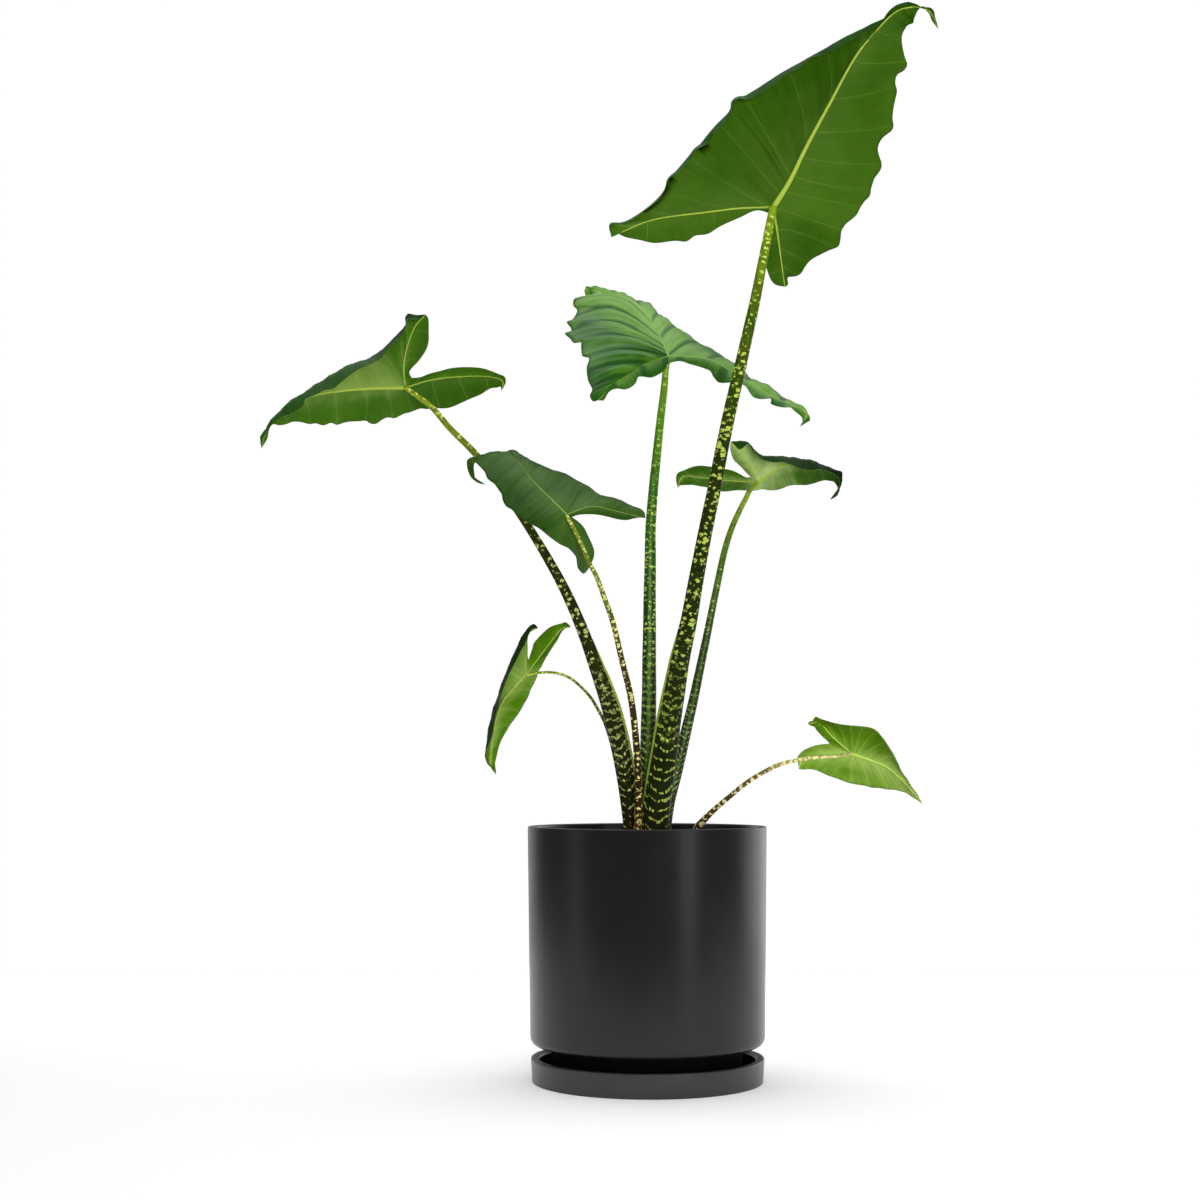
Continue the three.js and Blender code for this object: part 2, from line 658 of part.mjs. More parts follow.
function outerRows(leaf, half, reaches, turn) {
  const joint = vector(leaf.joint);
  const tip = vector(leaf.midrib.at(-1));
  const lobeTip = vector(half.rib.at(-1));
  const midrib = smoothCurve([joint, ...leaf.midrib.map(vector)]);
  const rib = smoothCurve([joint, ...half.rib.map(vector)]);
  const edge = smoothCurve([lobeTip, ...half.veins.map((vein) => vector(vein.slice(1))), tip]);
  const fold = half.folds ? smoothCurve([lobeTip, ...half.folds.map(vector), tip]) : null;
  const places = reaches.map((reach) => edgePlace(half, reach));
  const spine = reaches.map((reach) => (reach < 0 ? rib : midrib).getPointAt(Math.abs(footOf(reach))));
  const edges = places.map((place) => edge.getPoint(place));
  const folds = fold ? places.map((place) => fold.getPoint(place)) : edges;
  const normals = upperNormals(spine, folds, turn);
  return reaches.map((reach, i) => {
    const fade = 1 - Math.abs(reach) ** LEAF.bellyFade;
    const swing = 2 * Math.PI * half.waves * places[i];
    const ripple = half.waveDepth * Math.sqrt(Math.sin(Math.PI * places[i]));
    const outward = edges[i].clone().sub(folds === edges ? spine[i] : folds[i]).normalize();
    const end = edges[i].clone();
    end.addScaledVector(outward, LEAF.outwardRipple * ripple * Math.cos(swing));
    end.addScaledVector(normals[i], ripple * Math.sin(swing));
    const belly = bellied(spine[i], folds[i], normals[i], LEAF.belly * fade);
    if (Math.abs(reach) === 1) {
      return (fold ? FOLDED_COLUMNS : PLAIN_COLUMNS).map(() => edges[i].clone());
    }
    if (fold) {
      const section = smoothCurve([spine[i], belly, folds[i], end]);
      return FOLDED_COLUMNS.map((v) => section.getPoint(v));
    }
    return PLAIN_COLUMNS.map((v) => onParabola(spine[i], belly, end, v));
  });
}

// The strip between a lobe's rib and the open sinus beside the stalk
function sinusRows(leaf, half, reaches, turn) {
  const joint = vector(leaf.joint);
  const lobeTip = vector(half.rib.at(-1));
  const rib = smoothCurve([joint, ...half.rib.map(vector)]);
  const edge = smoothCurve([vector(leaf.notch), ...half.sinus.map(vector), lobeTip]);
  const starts = reaches.map((reach) => rib.getPointAt(Math.abs(footOf(reach))));
  const ends = reaches.map((reach) => edge.getPointAt(Math.abs(footOf(reach))));
  const normals = upperNormals(starts, ends, -turn);
  return reaches.map((reach, i) => {
    const rise = LEAF.sinusBelly * Math.sin(Math.PI * Math.abs(reach));
    const belly = bellied(starts[i], ends[i], normals[i], rise);
    return SINUS_COLUMNS.map((v) => onParabola(starts[i], belly, ends[i], v));
  });
}

// The leaf's middle surface: shared points, faces with the upper side out, and the points on its ribs
function leafSurface(leaf) {
  const points = [];
  const faces = [];
  const ribs = new Map();
  const known = new Map();
  const place = (point) => {
    const key = [point.x, point.y, point.z].map((value) => Math.round(value * CELLS_PER_MM)).join();
    if (!known.has(key)) {
      known.set(key, points.length);
      points.push(point);
    }
    return known.get(key);
  };
  const cover = (rows, flip) => {
    const grid = rows.map((row) => row.map(place));
    for (let i = 0; i < grid.length - 1; i += 1) {
      for (let j = 0; j < grid[0].length - 1; j += 1) {
        const [a, b, c, d] = [grid[i][j], grid[i + 1][j], grid[i + 1][j + 1], grid[i][j + 1]];
        for (const face of [[a, b, c], [a, c, d]]) {
          if (new Set(face).size === 3) {
            faces.push(flip ? face.reverse() : face);
          }
        }
      }
    }
    return grid;
  };
  const reaches = rowReaches(leaf.rows);
  const lobeReaches = reaches.filter((reach) => reach <= 0);
  for (const side of ["left", "right"]) {
    const turn = side === "left" ? -1 : 1;
    const grid = cover(outerRows(leaf, leaf[side], reaches, turn), side === "right");
    grid.forEach((row, i) => ribs.set(row[0], 1 - Math.abs(reaches[i])));
    cover(sinusRows(leaf, leaf[side], lobeReaches, turn), side === "left");
  }
  return { points, faces, ribs };
}

function pointNormals({ points, faces }) {
  const normals = points.map(() => new THREE.Vector3());
  for (const face of faces) {
    const [a, b, c] = face.map((corner) => points[corner]);
    const normal = b.clone().sub(a).cross(c.clone().sub(a));
    face.forEach((corner) => normals[corner].add(normal));
  }
  return normals.map((normal) => normal.normalize());
}

// The edges that only one face uses, in that face's direction
function openEdges(faces) {
  const edges = new Map();
  for (const [a, b, c] of faces) {
    for (const [from, to] of [[a, b], [b, c], [c, a]]) {
      const back = `${to},${from}`;
      if (edges.has(back)) {
        edges.delete(back);
      } else {
        edges.set(`${from},${to}`, [from, to]);
      }
    }
  }
  return [...edges.values()];
}

// The blade: both faces take the same triangles, and the ribs stand out on the underside.
function leafSolid(leaf, grow) {
  const surface = leafSurface(leaf);
  const { points, faces, ribs } = surface;
  const normals = pointNormals(surface);
  const half = LEAF.thickness / 2 + grow;
  const upper = points.map((point, i) => point.clone().addScaledVector(normals[i], half));
  const lower = points.map((point, i) => {
    const rib = LEAF.rib * leaf.ribScale * (ribs.get(i) ?? 0) ** LEAF.ribTaper;
    return point.clone().addScaledVector(normals[i], -half - rib);
  });
  const count = points.length;
  const under = faces.map((face) => face.map((corner) => corner + count).reverse());
  const rim = openEdges(faces).flatMap(([from, to]) => [
    [to, from, from + count],
    [to, from + count, to + count],
  ]);
  return meshOf([...upper, ...lower], [...faces, ...under, ...rim]);
}

// Assembly
const potFinish = finish(0x232325, 0.45);
const soilFinish = finish(0x2e2219, 0.95);
const leafFinish = finish(0x476a26, 0.5);
const stalkFinish = finish(0x36421a, 0.5);

const plant = new THREE.Group();

function addPiece(name, geometry, material) {
  geometry.computeVertexNormals();
  const mesh = new THREE.Mesh(geometry, material);
  mesh.name = name;
  plant.add(mesh);
}

let soil = toSolid(turned(soilProfile()));
for (const [name, leaf] of Object.entries(LEAVES)) {
  const stalk = STALKS[name];
  soil = soil.subtract(toSolid(stalkSolid(stalk, SEAT_GAP)));
  const seat = toSolid(leafSolid(leaf, SEAT_GAP));
  const cut = largestBody(toSolid(stalkSolid(stalk, 0)).subtract(seat));
  addPiece(`leaf_${name}`, leafSolid(leaf, 0), leafFinish);
  addPiece(`stalk_${name}`, fromSolid(cut), stalkFinish);
}
addPiece("soil", fromSolid(soil), soilFinish);
addPiece("pot", turned(potProfile()), potFinish);
addPiece("saucer", turned(saucerProfile()), potFinish);

export default plant;
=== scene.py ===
"""A potted alocasia: veined blades, mottled stalks, potting mix, and a satin black pot on its saucer."""
import math
import random

import bmesh
import bpy
import numpy as np
from mathutils import Matrix, Vector, noise


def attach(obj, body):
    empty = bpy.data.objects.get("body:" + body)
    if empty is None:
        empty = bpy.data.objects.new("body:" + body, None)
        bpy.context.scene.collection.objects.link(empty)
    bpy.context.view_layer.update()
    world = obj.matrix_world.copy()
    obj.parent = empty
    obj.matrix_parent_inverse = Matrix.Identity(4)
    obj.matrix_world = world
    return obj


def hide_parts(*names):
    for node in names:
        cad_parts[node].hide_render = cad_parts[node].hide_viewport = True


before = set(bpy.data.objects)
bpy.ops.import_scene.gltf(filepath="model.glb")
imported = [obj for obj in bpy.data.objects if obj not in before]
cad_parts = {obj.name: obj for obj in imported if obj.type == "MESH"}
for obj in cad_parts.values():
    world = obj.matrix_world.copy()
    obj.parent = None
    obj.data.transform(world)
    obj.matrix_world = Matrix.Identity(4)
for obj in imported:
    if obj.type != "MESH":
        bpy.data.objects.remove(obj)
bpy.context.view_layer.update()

# The tables, the points and the faces' sizes are in millimetres, and new_piece turns them to metres. The
# backdrop, the lamps and the camera are placed in metres.
MM = 0.001

# The blades, as points on each one. A vein starts on the spine at a share of its length (below 0 on
# the lobe's rib, above 0 on the midrib) and ends at a point of the edge. Where an edge rolls under, a
# fold point stands between the vein and its end. Left and right are seen from above. Fineness is the
# number of rows on a lobe, which also seeds the swell, and columns that of the points in a row. Quilt is
# the rise between two veins, and wave_depth that of the edge's waves. Bow bends the side veins. Tints
# are partly the leaf's own tone and partly painted light and shade: they make the lobe, the joint and
# the tip lighter than the rest or, below 0, deeper.
LEAVES = {
  "tall_right": {
    "fineness": 110,
    "columns": 34,
    "quilt": 0.9,
    "rib_scale": 1,
    "joint": [109, -30, 742],
    "notch": [106, -26, 738],
    "midrib": [
      [122, -36, 762], [135, -44, 788], [155, -56, 824], [177, -70, 862], [195, -81, 882],
      [208, -89, 892], [218, -95, 893], [228, -98, 891], [234, -100, 887], [237, -102, 880],
      [240, -104, 871],
    ],
    "left": {
      "bow": 0.15,
      "painted_light_tints": (-0.1, 0.45, -0.15),
      "waves": 8,
      "wave_depth": 2.5,
      "rib": [
        [114, -12, 725], [120, 16, 706], [125, 40, 690],
      ],
      "sinus": [
        [104, -16, 730], [104, 4, 716], [108, 26, 702], [115, 36, 692],
      ],
      "veins": [
        [-0.7, 136, 38, 699], [-0.5, 145, 32, 708], [-0.25, 167, 22, 722], [0, 175, 12, 733],
        [0.07, 189, 10, 755], [0.13, 201, 8, 768], [0.2, 207, 2, 791], [0.3, 217, -8, 821],
        [0.43, 219, -26, 851], [0.58, 222, -44, 867], [0.71, 218, -66, 881], [0.84, 222, -90, 889],
        [0.93, 231, -100, 884],
      ],
      "edge": [
        [128, 40, 692], [128, 39, 698], [133, 38, 699], [137, 37, 701], [142, 34, 706], [148, 31, 711],
        [155, 27, 715], [163, 24, 720], [170, 21, 723], [172, 17, 726], [174, 12, 733], [177, 12, 739],
        [181, 11, 743], [185, 11, 748], [188, 10, 754], [192, 10, 758], [197, 9, 761], [199, 8, 764],
        [199, 7, 771], [200, 5, 779], [203, 4, 783], [206, 3, 787], [207, 2, 791], [206, 1, 796],
        [205, -1, 803], [208, -4, 810], [212, -6, 814], [215, -7, 817], [216, -8, 821],
        [214, -11, 827], [214, -16, 834], [216, -20, 841], [218, -24, 847], [217, -27, 852],
        [218, -33, 857], [222, -36, 860], [223, -41, 864], [220, -47, 869], [218, -55, 874],
        [217, -63, 879], [218, -70, 883], [219, -77, 885], [223, -82, 886], [223, -91, 887],
        [225, -93, 891], [228, -96, 892], [231, -99, 890], [233, -100, 886], [235, -101, 880],
        [238, -103, 874],
      ],
    },
    "right": {
      "bow": 0,
      "painted_light_tints": (0.3, 0, -0.25),
      "waves": 8,
      "wave_depth": 1,
      "rib": [
        [81, -24, 743], [53, -16, 742], [4, 0, 739], [-30, 10, 727],
      ],
      "sinus": [
        [95, -24, 741], [81, -16, 737], [65, -7, 732], [54, 0, 727], [43, 3, 726], [36, 6, 722],
        [26, 8, 723], [8, 11, 722], [-5, 12, 725], [-18, 13, 728], [-28, 12, 732],
      ],
      "veins": [
        [-0.85, -30, 12, 737], [-0.72, -19, 12, 741], [-0.5, 0, 10, 751], [-0.22, 16, 10, 770],
        [-0.02, 39, 8, 799], [0.05, 66, 2, 826], [0.12, 86, -8, 843], [0.25, 123, -30, 860],
        [0.42, 153, -52, 870], [0.6, 184, -72, 880], [0.76, 208, -88, 893], [0.9, 228, -99, 894],
      ],
      "folds": [
        [-31, 14, 740], [-21, 14, 741], [-13, 14, 744], [-5, 13, 749], [4, 13, 756], [11, 14, 763],
        [17, 14, 771], [19, 14, 779], [22, 14, 783], [27, 14, 787], [34, 14, 795], [41, 14, 804],
        [44, 13, 808], [48, 13, 811], [55, 11, 819], [64, 10, 829], [75, 5, 840], [76, 3, 846],
        [79, 2, 849], [83, 0, 850], [87, -1, 850], [97, -7, 854], [108, -14, 859], [125, -24, 867],
        [142, -38, 872], [157, -50, 877], [172, -61, 882], [188, -72, 887], [200, -81, 890],
        [203, -84, 894], [207, -87, 897], [212, -90, 898], [218, -93, 898], [222, -96, 896],
        [227, -100, 891], [231, -100, 891], [235, -101, 889], [237, -102, 883], [239, -103, 875],
      ],
      "edge": [
        [-30, 12, 737], [-22, 12, 739], [-13, 11, 742], [-5, 11, 747], [4, 10, 754], [11, 10, 761],
        [16, 10, 769], [20, 10, 777], [23, 9, 781], [28, 9, 783], [35, 9, 790], [40, 8, 797],
        [43, 7, 804], [48, 6, 807], [56, 5, 811], [60, 4, 818], [66, 2, 823], [72, 0, 828],
        [75, -3, 836], [77, -6, 844], [82, -8, 846], [88, -9, 844], [98, -14, 846], [109, -21, 851],
        [123, -30, 860], [132, -37, 863], [141, -44, 869], [150, -49, 869], [161, -57, 871],
        [172, -64, 876], [184, -73, 881], [195, -79, 886], [201, -84, 892], [204, -87, 894],
        [209, -89, 896], [215, -92, 896], [222, -96, 894], [227, -100, 891], [231, -100, 891],
        [234, -101, 888], [237, -102, 882], [239, -103, 875],
      ],
    },
  },
  "far_left": {
    "fineness": 60,
    "columns": 28,
    "quilt": 0.8,
    "rib_scale": 0.8,
    "joint": [-210, 10, 593],
    "notch": [-204, 8, 601],
    "midrib": [
      [-235, -2, 590], [-261, -16, 585], [-286, -32, 577], [-306, -46, 563], [-318, -54, 549],
      [-323, -58, 528],
    ],
    "left": {
      "bow": 0.1,
      "painted_light_tints": (-0.5, 0.15, 0.35),
      "waves": 5,
      "wave_depth": 0.5,
      "rib": [
        [-210, -7, 608], [-205, -24, 623], [-197, -37, 637], [-188, -44, 645],
      ],
      "sinus": [
        [-206, 5, 605], [-197, -7, 613], [-190, -17, 620], [-187, -24, 625], [-186, -33, 634],
        [-186, -41, 643],
      ],
      "veins": [
        [-0.6, -199, -52, 637], [-0.3, -204, -52, 631], [-0.05, -217, -54, 612],
        [0.12, -231, -58, 599], [0.26, -241, -58, 595], [0.4, -255, -60, 585], [0.54, -268, -62, 576],
        [0.68, -285, -60, 569], [0.8, -304, -58, 555], [0.9, -319, -57, 543],
      ],
      "folds": [
        [-193, -44, 644], [-199, -44, 644], [-203, -43, 645], [-205, -42, 642], [-204, -41, 638],
        [-209, -39, 632], [-218, -38, 622], [-228, -40, 613], [-237, -41, 607], [-251, -46, 601],
        [-265, -49, 592], [-276, -52, 584], [-289, -53, 575], [-302, -55, 565], [-312, -56, 554],
        [-319, -57, 545], [-323, -57, 538],
      ],
      "edge": [
        [-191, -44, 642], [-195, -49, 639], [-200, -52, 639], [-202, -52, 640], [-203, -52, 634],
        [-206, -52, 627], [-210, -53, 621], [-216, -54, 615], [-220, -55, 610], [-226, -56, 604],
        [-230, -57, 602], [-235, -58, 599], [-242, -58, 595], [-248, -59, 591], [-253, -60, 587],
        [-258, -60, 583], [-263, -61, 578], [-270, -62, 576], [-277, -61, 573], [-283, -60, 571],
        [-287, -60, 569], [-288, -60, 564], [-292, -59, 561], [-299, -58, 557], [-308, -58, 553],
        [-314, -57, 548], [-319, -57, 542], [-322, -58, 535],
      ],
    },
    "right": {
      "bow": 0.1,
      "painted_light_tints": (-0.6, -0.3, -0.1),
      "waves": 7,
      "wave_depth": 1,
      "rib": [
        [-189, 18, 601], [-162, 31, 607], [-138, 42, 609], [-127, 46, 606], [-128, 50, 598],
      ],
      "sinus": [
        [-197, 10, 602], [-189, 14, 606], [-180, 17, 609], [-172, 20, 612], [-163, 24, 614],
        [-154, 28, 615], [-145, 33, 615], [-136, 38, 613], [-129, 43, 611], [-125, 46, 610],
        [-124, 48, 606], [-126, 49, 601],
      ],
      "veins": [
        [-0.75, -140, 56, 599], [-0.5, -159, 60, 592], [-0.25, -184, 58, 585], [0, -208, 54, 580],
        [0.12, -225, 46, 573], [0.25, -247, 36, 568], [0.42, -271, 16, 562], [0.6, -290, -8, 558],
        [0.76, -307, -32, 554], [0.88, -318, -50, 543],
      ],
      "edge": [
        [-129, 51, 602], [-132, 52, 601], [-139, 56, 601], [-148, 58, 596], [-157, 60, 592],
        [-166, 59, 588], [-175, 59, 585], [-184, 58, 584], [-189, 57, 584], [-194, 56, 582],
        [-201, 55, 582], [-208, 54, 580], [-215, 51, 578], [-219, 49, 575], [-223, 47, 572],
        [-229, 44, 572], [-234, 42, 570], [-239, 40, 567], [-243, 38, 567], [-247, 36, 569],
        [-254, 31, 567], [-260, 25, 565], [-265, 21, 563], [-270, 17, 561], [-275, 10, 562],
        [-281, 4, 559], [-286, -3, 559], [-290, -8, 557], [-297, -18, 557], [-303, -27, 556],
        [-308, -33, 553], [-312, -39, 551], [-316, -43, 551], [-318, -48, 545], [-319, -52, 538],
        [-321, -56, 532],
      ],
    },
  },
  "centre_back": {
    "fineness": 80,
    "columns": 32,
    "quilt": 2.6,
    "rib_scale": 0.7,
    "joint": [22, 70, 634],
    "notch": [21, 66, 626],
    "midrib": [
      [17, 92, 652], [10, 118, 673], [2, 142, 694], [-13, 160, 707], [-33, 178, 720], [-54, 190, 726],
    ],
    "left": {
      "bow": -0.8,
      "painted_light_tints": (-0.15, -0.1, 0.7),
      "waves": 5,
      "wave_depth": 1.5,
      "rib": [
        [0, 54, 623], [-24, 36, 605], [-42, 22, 584],
      ],
      "sinus": [
        [18, 61, 619], [11, 56, 613], [5, 51, 610], [-2, 47, 610], [-6, 44, 609], [-8, 42, 604],
        [-12, 38, 599], [-18, 34, 596], [-25, 30, 596], [-30, 28, 594], [-33, 26, 591], [-35, 25, 587],
        [-37, 23, 584],
      ],
      "veins": [
        [-0.6, -51, 26, 594], [-0.3, -51, 36, 611], [-0.04, -54, 54, 631], [0.04, -64, 78, 647],
        [0.1, -71, 104, 665], [0.2, -68, 130, 684], [0.38, -65, 156, 705], [0.65, -59, 178, 719],
      ],
      "edge": [
        [-46, 23, 583], [-49, 24, 588], [-47, 25, 594], [-51, 33, 606], [-52, 40, 616], [-50, 50, 628],
        [-55, 54, 631], [-57, 66, 640], [-58, 74, 649], [-63, 77, 646], [-68, 91, 655],
        [-72, 104, 664], [-67, 106, 666], [-67, 110, 669], [-71, 119, 676], [-66, 124, 679],
        [-62, 139, 690], [-62, 146, 696], [-65, 150, 700], [-65, 159, 708], [-60, 169, 712],
        [-54, 184, 717], [-55, 187, 723],
      ],
    },
    "right": {
      "bow": -0.2,
      "painted_light_tints": (-0.1, 0.2, 0.1),
      "waves": 4,
      "wave_depth": 0.5,
      "rib": [
        [58, 66, 630], [90, 60, 610], [119, 54, 591], [144, 48, 577], [138, 47, 565],
      ],
      "sinus": [
        [32, 65, 628], [41, 64, 625], [50, 62, 622], [55, 61, 620], [59, 60, 618], [62, 58, 612],
        [66, 56, 607], [70, 55, 606], [77, 53, 606], [87, 51, 604], [91, 50, 601], [93, 49, 597],
        [97, 49, 592], [103, 48, 590], [113, 47, 590], [112, 47, 586], [123, 46, 582], [130, 46, 582],
        [133, 46, 579], [137, 46, 576], [140, 46, 573], [140, 47, 567],
      ],
      "veins": [
        [-0.75, 125, 72, 596], [-0.5, 99, 94, 618], [-0.25, 79, 114, 637], [0, 58, 136, 658],
        [0.2, 39, 160, 676], [0.4, 20, 180, 693], [0.6, -1, 194, 709], [0.8, -28, 198, 722],
      ],
      "edge": [
        [146, 47, 568], [147, 51, 576], [142, 55, 579], [137, 59, 583], [132, 65, 589], [125, 72, 596],
        [115, 81, 605], [106, 87, 610], [98, 94, 615], [92, 101, 622], [85, 108, 630], [79, 114, 637],
        [68, 125, 648], [58, 136, 658], [47, 150, 668], [36, 163, 678], [25, 174, 688], [14, 184, 698],
        [5, 190, 706], [-7, 195, 714], [-19, 197, 719], [-32, 197, 726], [-42, 194, 726],
        [-50, 191, 725], [-52, 190, 727],
      ],
    },
  },
  "mid_left": {
    "fineness": 60,
    "columns": 30,
    "quilt": 1.0,
    "rib_scale": 0.6,
    "joint": [-67, -90, 468],
    "notch": [-63, -89, 466],
    "midrib": [
      [-79, -80, 481], [-97, -62, 501], [-106, -46, 515], [-116, -32, 526], [-129, -24, 528],
      [-143, -24, 525], [-151, -28, 520], [-149, -32, 509], [-137, -34, 501],
    ],
    "left": {
      "bow": 0.1,
      "painted_light_tints": (0.5, 0.05, 0),
      "waves": 3,
      "wave_depth": 0.8,
      "rib": [
        [-61, -84, 454], [-55, -74, 438], [-52, -64, 423],
      ],
      "sinus": [
        [-58, -85, 463], [-53, -81, 458], [-50, -78, 452], [-47, -76, 446], [-45, -72, 441],
        [-45, -70, 436], [-47, -67, 431], [-49, -65, 427],
      ],
      "veins": [
        [-0.75, -57, -74, 428], [-0.45, -60, -88, 437], [-0.2, -70, -96, 444], [0, -85, -98, 455],
        [0.12, -98, -98, 460], [0.25, -112, -90, 472], [0.38, -120, -80, 483], [0.5, -127, -68, 498],
        [0.62, -138, -54, 510], [0.75, -148, -38, 516], [0.88, -149, -34, 507],
      ],
      "edge": [
        [-54, -66, 422], [-57, -70, 424], [-59, -74, 427], [-60, -83, 434], [-63, -90, 438],
        [-65, -91, 440], [-72, -96, 443], [-81, -97, 449], [-89, -98, 455], [-97, -98, 459],
        [-104, -95, 464], [-107, -93, 467], [-112, -90, 472], [-117, -85, 476], [-120, -80, 482],
        [-121, -77, 487], [-123, -74, 491], [-127, -69, 496], [-131, -65, 499], [-134, -61, 502],
        [-136, -57, 507], [-138, -54, 510], [-142, -47, 515], [-146, -40, 519], [-147, -38, 518],
        [-147, -37, 513], [-146, -34, 507], [-142, -34, 504],
      ],
    },
    "right": {
      "bow": 0.1,
      "painted_light_tints": (0.25, -0.05, 0),
      "waves": 3,
      "wave_depth": 0.5,
      "rib": [
        [-47, -80, 476], [-23, -66, 473], [-2, -52, 470],
      ],
      "sinus": [
        [-58, -87, 468], [-48, -84, 469], [-40, -79, 469], [-32, -73, 468], [-25, -67, 467],
        [-18, -62, 467], [-12, -57, 469], [-7, -55, 470],
      ],
      "veins": [
        [-0.6, -10, -44, 480], [-0.3, -29, -34, 489], [0, -49, -24, 502], [0.18, -72, -16, 514],
        [0.34, -95, -8, 525], [0.48, -114, -2, 536], [0.62, -131, -8, 533], [0.76, -149, -24, 525],
        [0.88, -153, -32, 512],
      ],
      "edge": [
        [-3, -49, 475], [-6, -47, 478], [-13, -42, 481], [-20, -39, 485], [-26, -35, 488],
        [-36, -31, 491], [-42, -28, 495], [-49, -24, 501], [-55, -22, 504], [-61, -20, 507],
        [-69, -17, 512], [-74, -15, 514], [-81, -13, 516], [-87, -11, 519], [-96, -8, 524],
        [-103, -6, 527], [-109, -4, 531], [-113, -3, 534], [-116, -3, 536], [-119, -4, 535],
        [-123, -5, 532], [-129, -7, 532], [-135, -11, 531], [-141, -17, 528], [-146, -21, 527],
        [-151, -24, 525], [-153, -26, 523], [-153, -29, 518], [-151, -32, 511], [-148, -33, 506],
        [-142, -34, 502],
      ],
    },
  },
  "mid_right": {
    "fineness": 50,
    "columns": 28,
    "quilt": 0.8,
    "rib_scale": 0.6,
    "joint": [104, 90, 521.5],
    "notch": [97.5, 89, 526],
    "midrib": [
      [115, 80, 529.5], [127.5, 70, 535], [143, 62, 533.5], [158.5, 56, 529], [172, 52, 523],
      [172.5, 50, 512], [164.5, 50, 499.5],
    ],
    "left": {
      "bow": 0.1,
      "painted_light_tints": (-0.3, 0.5, -1.2),
      "waves": 4,
      "wave_depth": 0.5,
      "rib": [
        [79, 102, 524.5], [56, 114, 529], [36, 122, 531], [32.5, 126, 521.5],
      ],
      "sinus": [
        [93, 90, 526], [87.5, 92, 529], [80.5, 94, 532.5], [71.5, 98, 535], [62, 102.5, 537.5],
        [52, 108, 539.5], [45, 112, 539], [37.5, 115.5, 536.5], [32, 119, 534.5], [30.5, 120.5, 531],
        [31, 123.5, 525.5],
      ],
      "veins": [
        [-0.7, 50.5, 132, 523], [-0.35, 72, 138, 521], [0, 102, 138, 519.5], [0.15, 123, 128, 520],
        [0.3, 141.5, 112, 521], [0.45, 153.5, 96, 519.5], [0.6, 163.5, 76, 520.5],
        [0.75, 170.5, 60, 516], [0.88, 168.5, 52, 505],
      ],
      "edge": [
        [33.5, 126.5, 523.5], [40, 128.5, 524.5], [46.5, 131, 525], [53.5, 132.5, 524],
        [61, 135, 523.5], [68.5, 137, 522.5], [74, 138, 520.5], [80.5, 138, 520.5], [88, 138, 521],
        [95.5, 138, 520.5], [104, 137, 520], [112, 133, 521], [117.5, 130.5, 520], [124.5, 126.5, 520],
        [129.5, 122, 521], [135.5, 117, 522.5], [143.5, 110, 521.5], [149, 102.5, 520],
        [154.5, 94, 520.5], [159, 84.5, 521.5], [163.5, 76, 521.5], [167.5, 66.5, 519],
        [169.5, 62, 517.5], [172, 57, 512], [172, 54, 507.5], [168.5, 51.5, 503],
      ],
    },
    "right": {
      "bow": 0.1,
      "painted_light_tints": (0.1, 0.45, -1.2),
      "waves": 3,
      "wave_depth": 0.3,
      "rib": [
        [97.5, 77.5, 532.5], [88.5, 63, 542], [80.5, 53.5, 548.5], [77, 52, 552.5],
      ],
      "sinus": [
        [94.5, 85.5, 528], [89.5, 79.5, 532], [84.5, 72.5, 535.5], [80.5, 67, 538], [78, 62, 542.5],
        [76.5, 56, 547],
      ],
      "veins": [
        [-0.6, 92, 50, 549], [-0.25, 102, 46, 537.5], [0.02, 114.5, 44, 532], [0.2, 126, 42, 531.5],
        [0.4, 138, 40, 526], [0.6, 157.5, 40, 524], [0.78, 171.5, 46, 520.5], [0.9, 172.5, 49, 509],
      ],
      "folds": [
        [82.5, 52, 552], [87.5, 52, 552], [92, 52, 551.5], [95, 52.5, 548.5], [98.5, 53.5, 544],
        [103, 54, 541], [109, 54, 539.5], [117, 54, 539.5], [129.5, 52, 538], [143.5, 49, 535],
        [151.5, 47.5, 533], [157.5, 47, 530], [163.5, 46, 527], [169, 47, 525.5], [174.5, 48, 524.5],
        [174.5, 49, 517.5], [173.5, 50, 510.5], [170, 50, 503.5],
      ],
      "edge": [
        [80.5, 52, 549], [85, 51.5, 545], [88.5, 50.5, 547], [92, 50, 550], [95.5, 48.5, 544],
        [99.5, 47, 539.5], [104, 45.5, 535.5], [109, 45, 533.5], [115.5, 44, 532], [123, 42.5, 532],
        [128.5, 41.5, 530], [134.5, 40.5, 527.5], [140.5, 40, 526], [147.5, 40, 525], [155, 40, 525.5],
        [160, 41, 524], [166, 43.5, 522], [170.5, 46, 519.5], [172.5, 47.5, 514.5], [172, 49, 509],
        [169, 49.5, 503.5],
      ],
    },
  },
  "low_left": {
    "fineness": 40,
    "columns": 24,
    "quilt": 0.5,
    "rib_scale": 0.4,
    "joint": [-105.5, 60, 344.5],
    "notch": [-103, 56, 357.5],
    "midrib": [
      [-116.5, 66, 333], [-126.5, 72, 321.5], [-132.5, 80, 307.5], [-136, 88, 290.5],
      [-138.5, 96, 274.5], [-138.5, 101, 263], [-134, 104, 256],
    ],
    "left": {
      "bow": 0.1,
      "painted_light_tints": (-0.2, -0.1, -0.4),
      "waves": 3,
      "wave_depth": 0.4,
      "rib": [
        [-105.5, 54.5, 360], [-105.5, 49.5, 373], [-101.5, 45.5, 382.5], [-94.5, 42, 384.5],
      ],
      "sinus": [
        [-104, 55.5, 360], [-104, 53, 368], [-104, 50, 374.5], [-102.5, 47, 380.5], [-99, 45, 383],
      ],
      "veins": [
        [-0.6, -102.5, 42, 379.5], [-0.25, -109.5, 44, 367.5], [0.08, -122, 54, 340.5],
        [0.28, -129, 66, 319.5], [0.5, -134, 78, 299.5], [0.7, -140, 92, 282],
        [0.88, -139.5, 101, 263],
      ],
      "folds": [
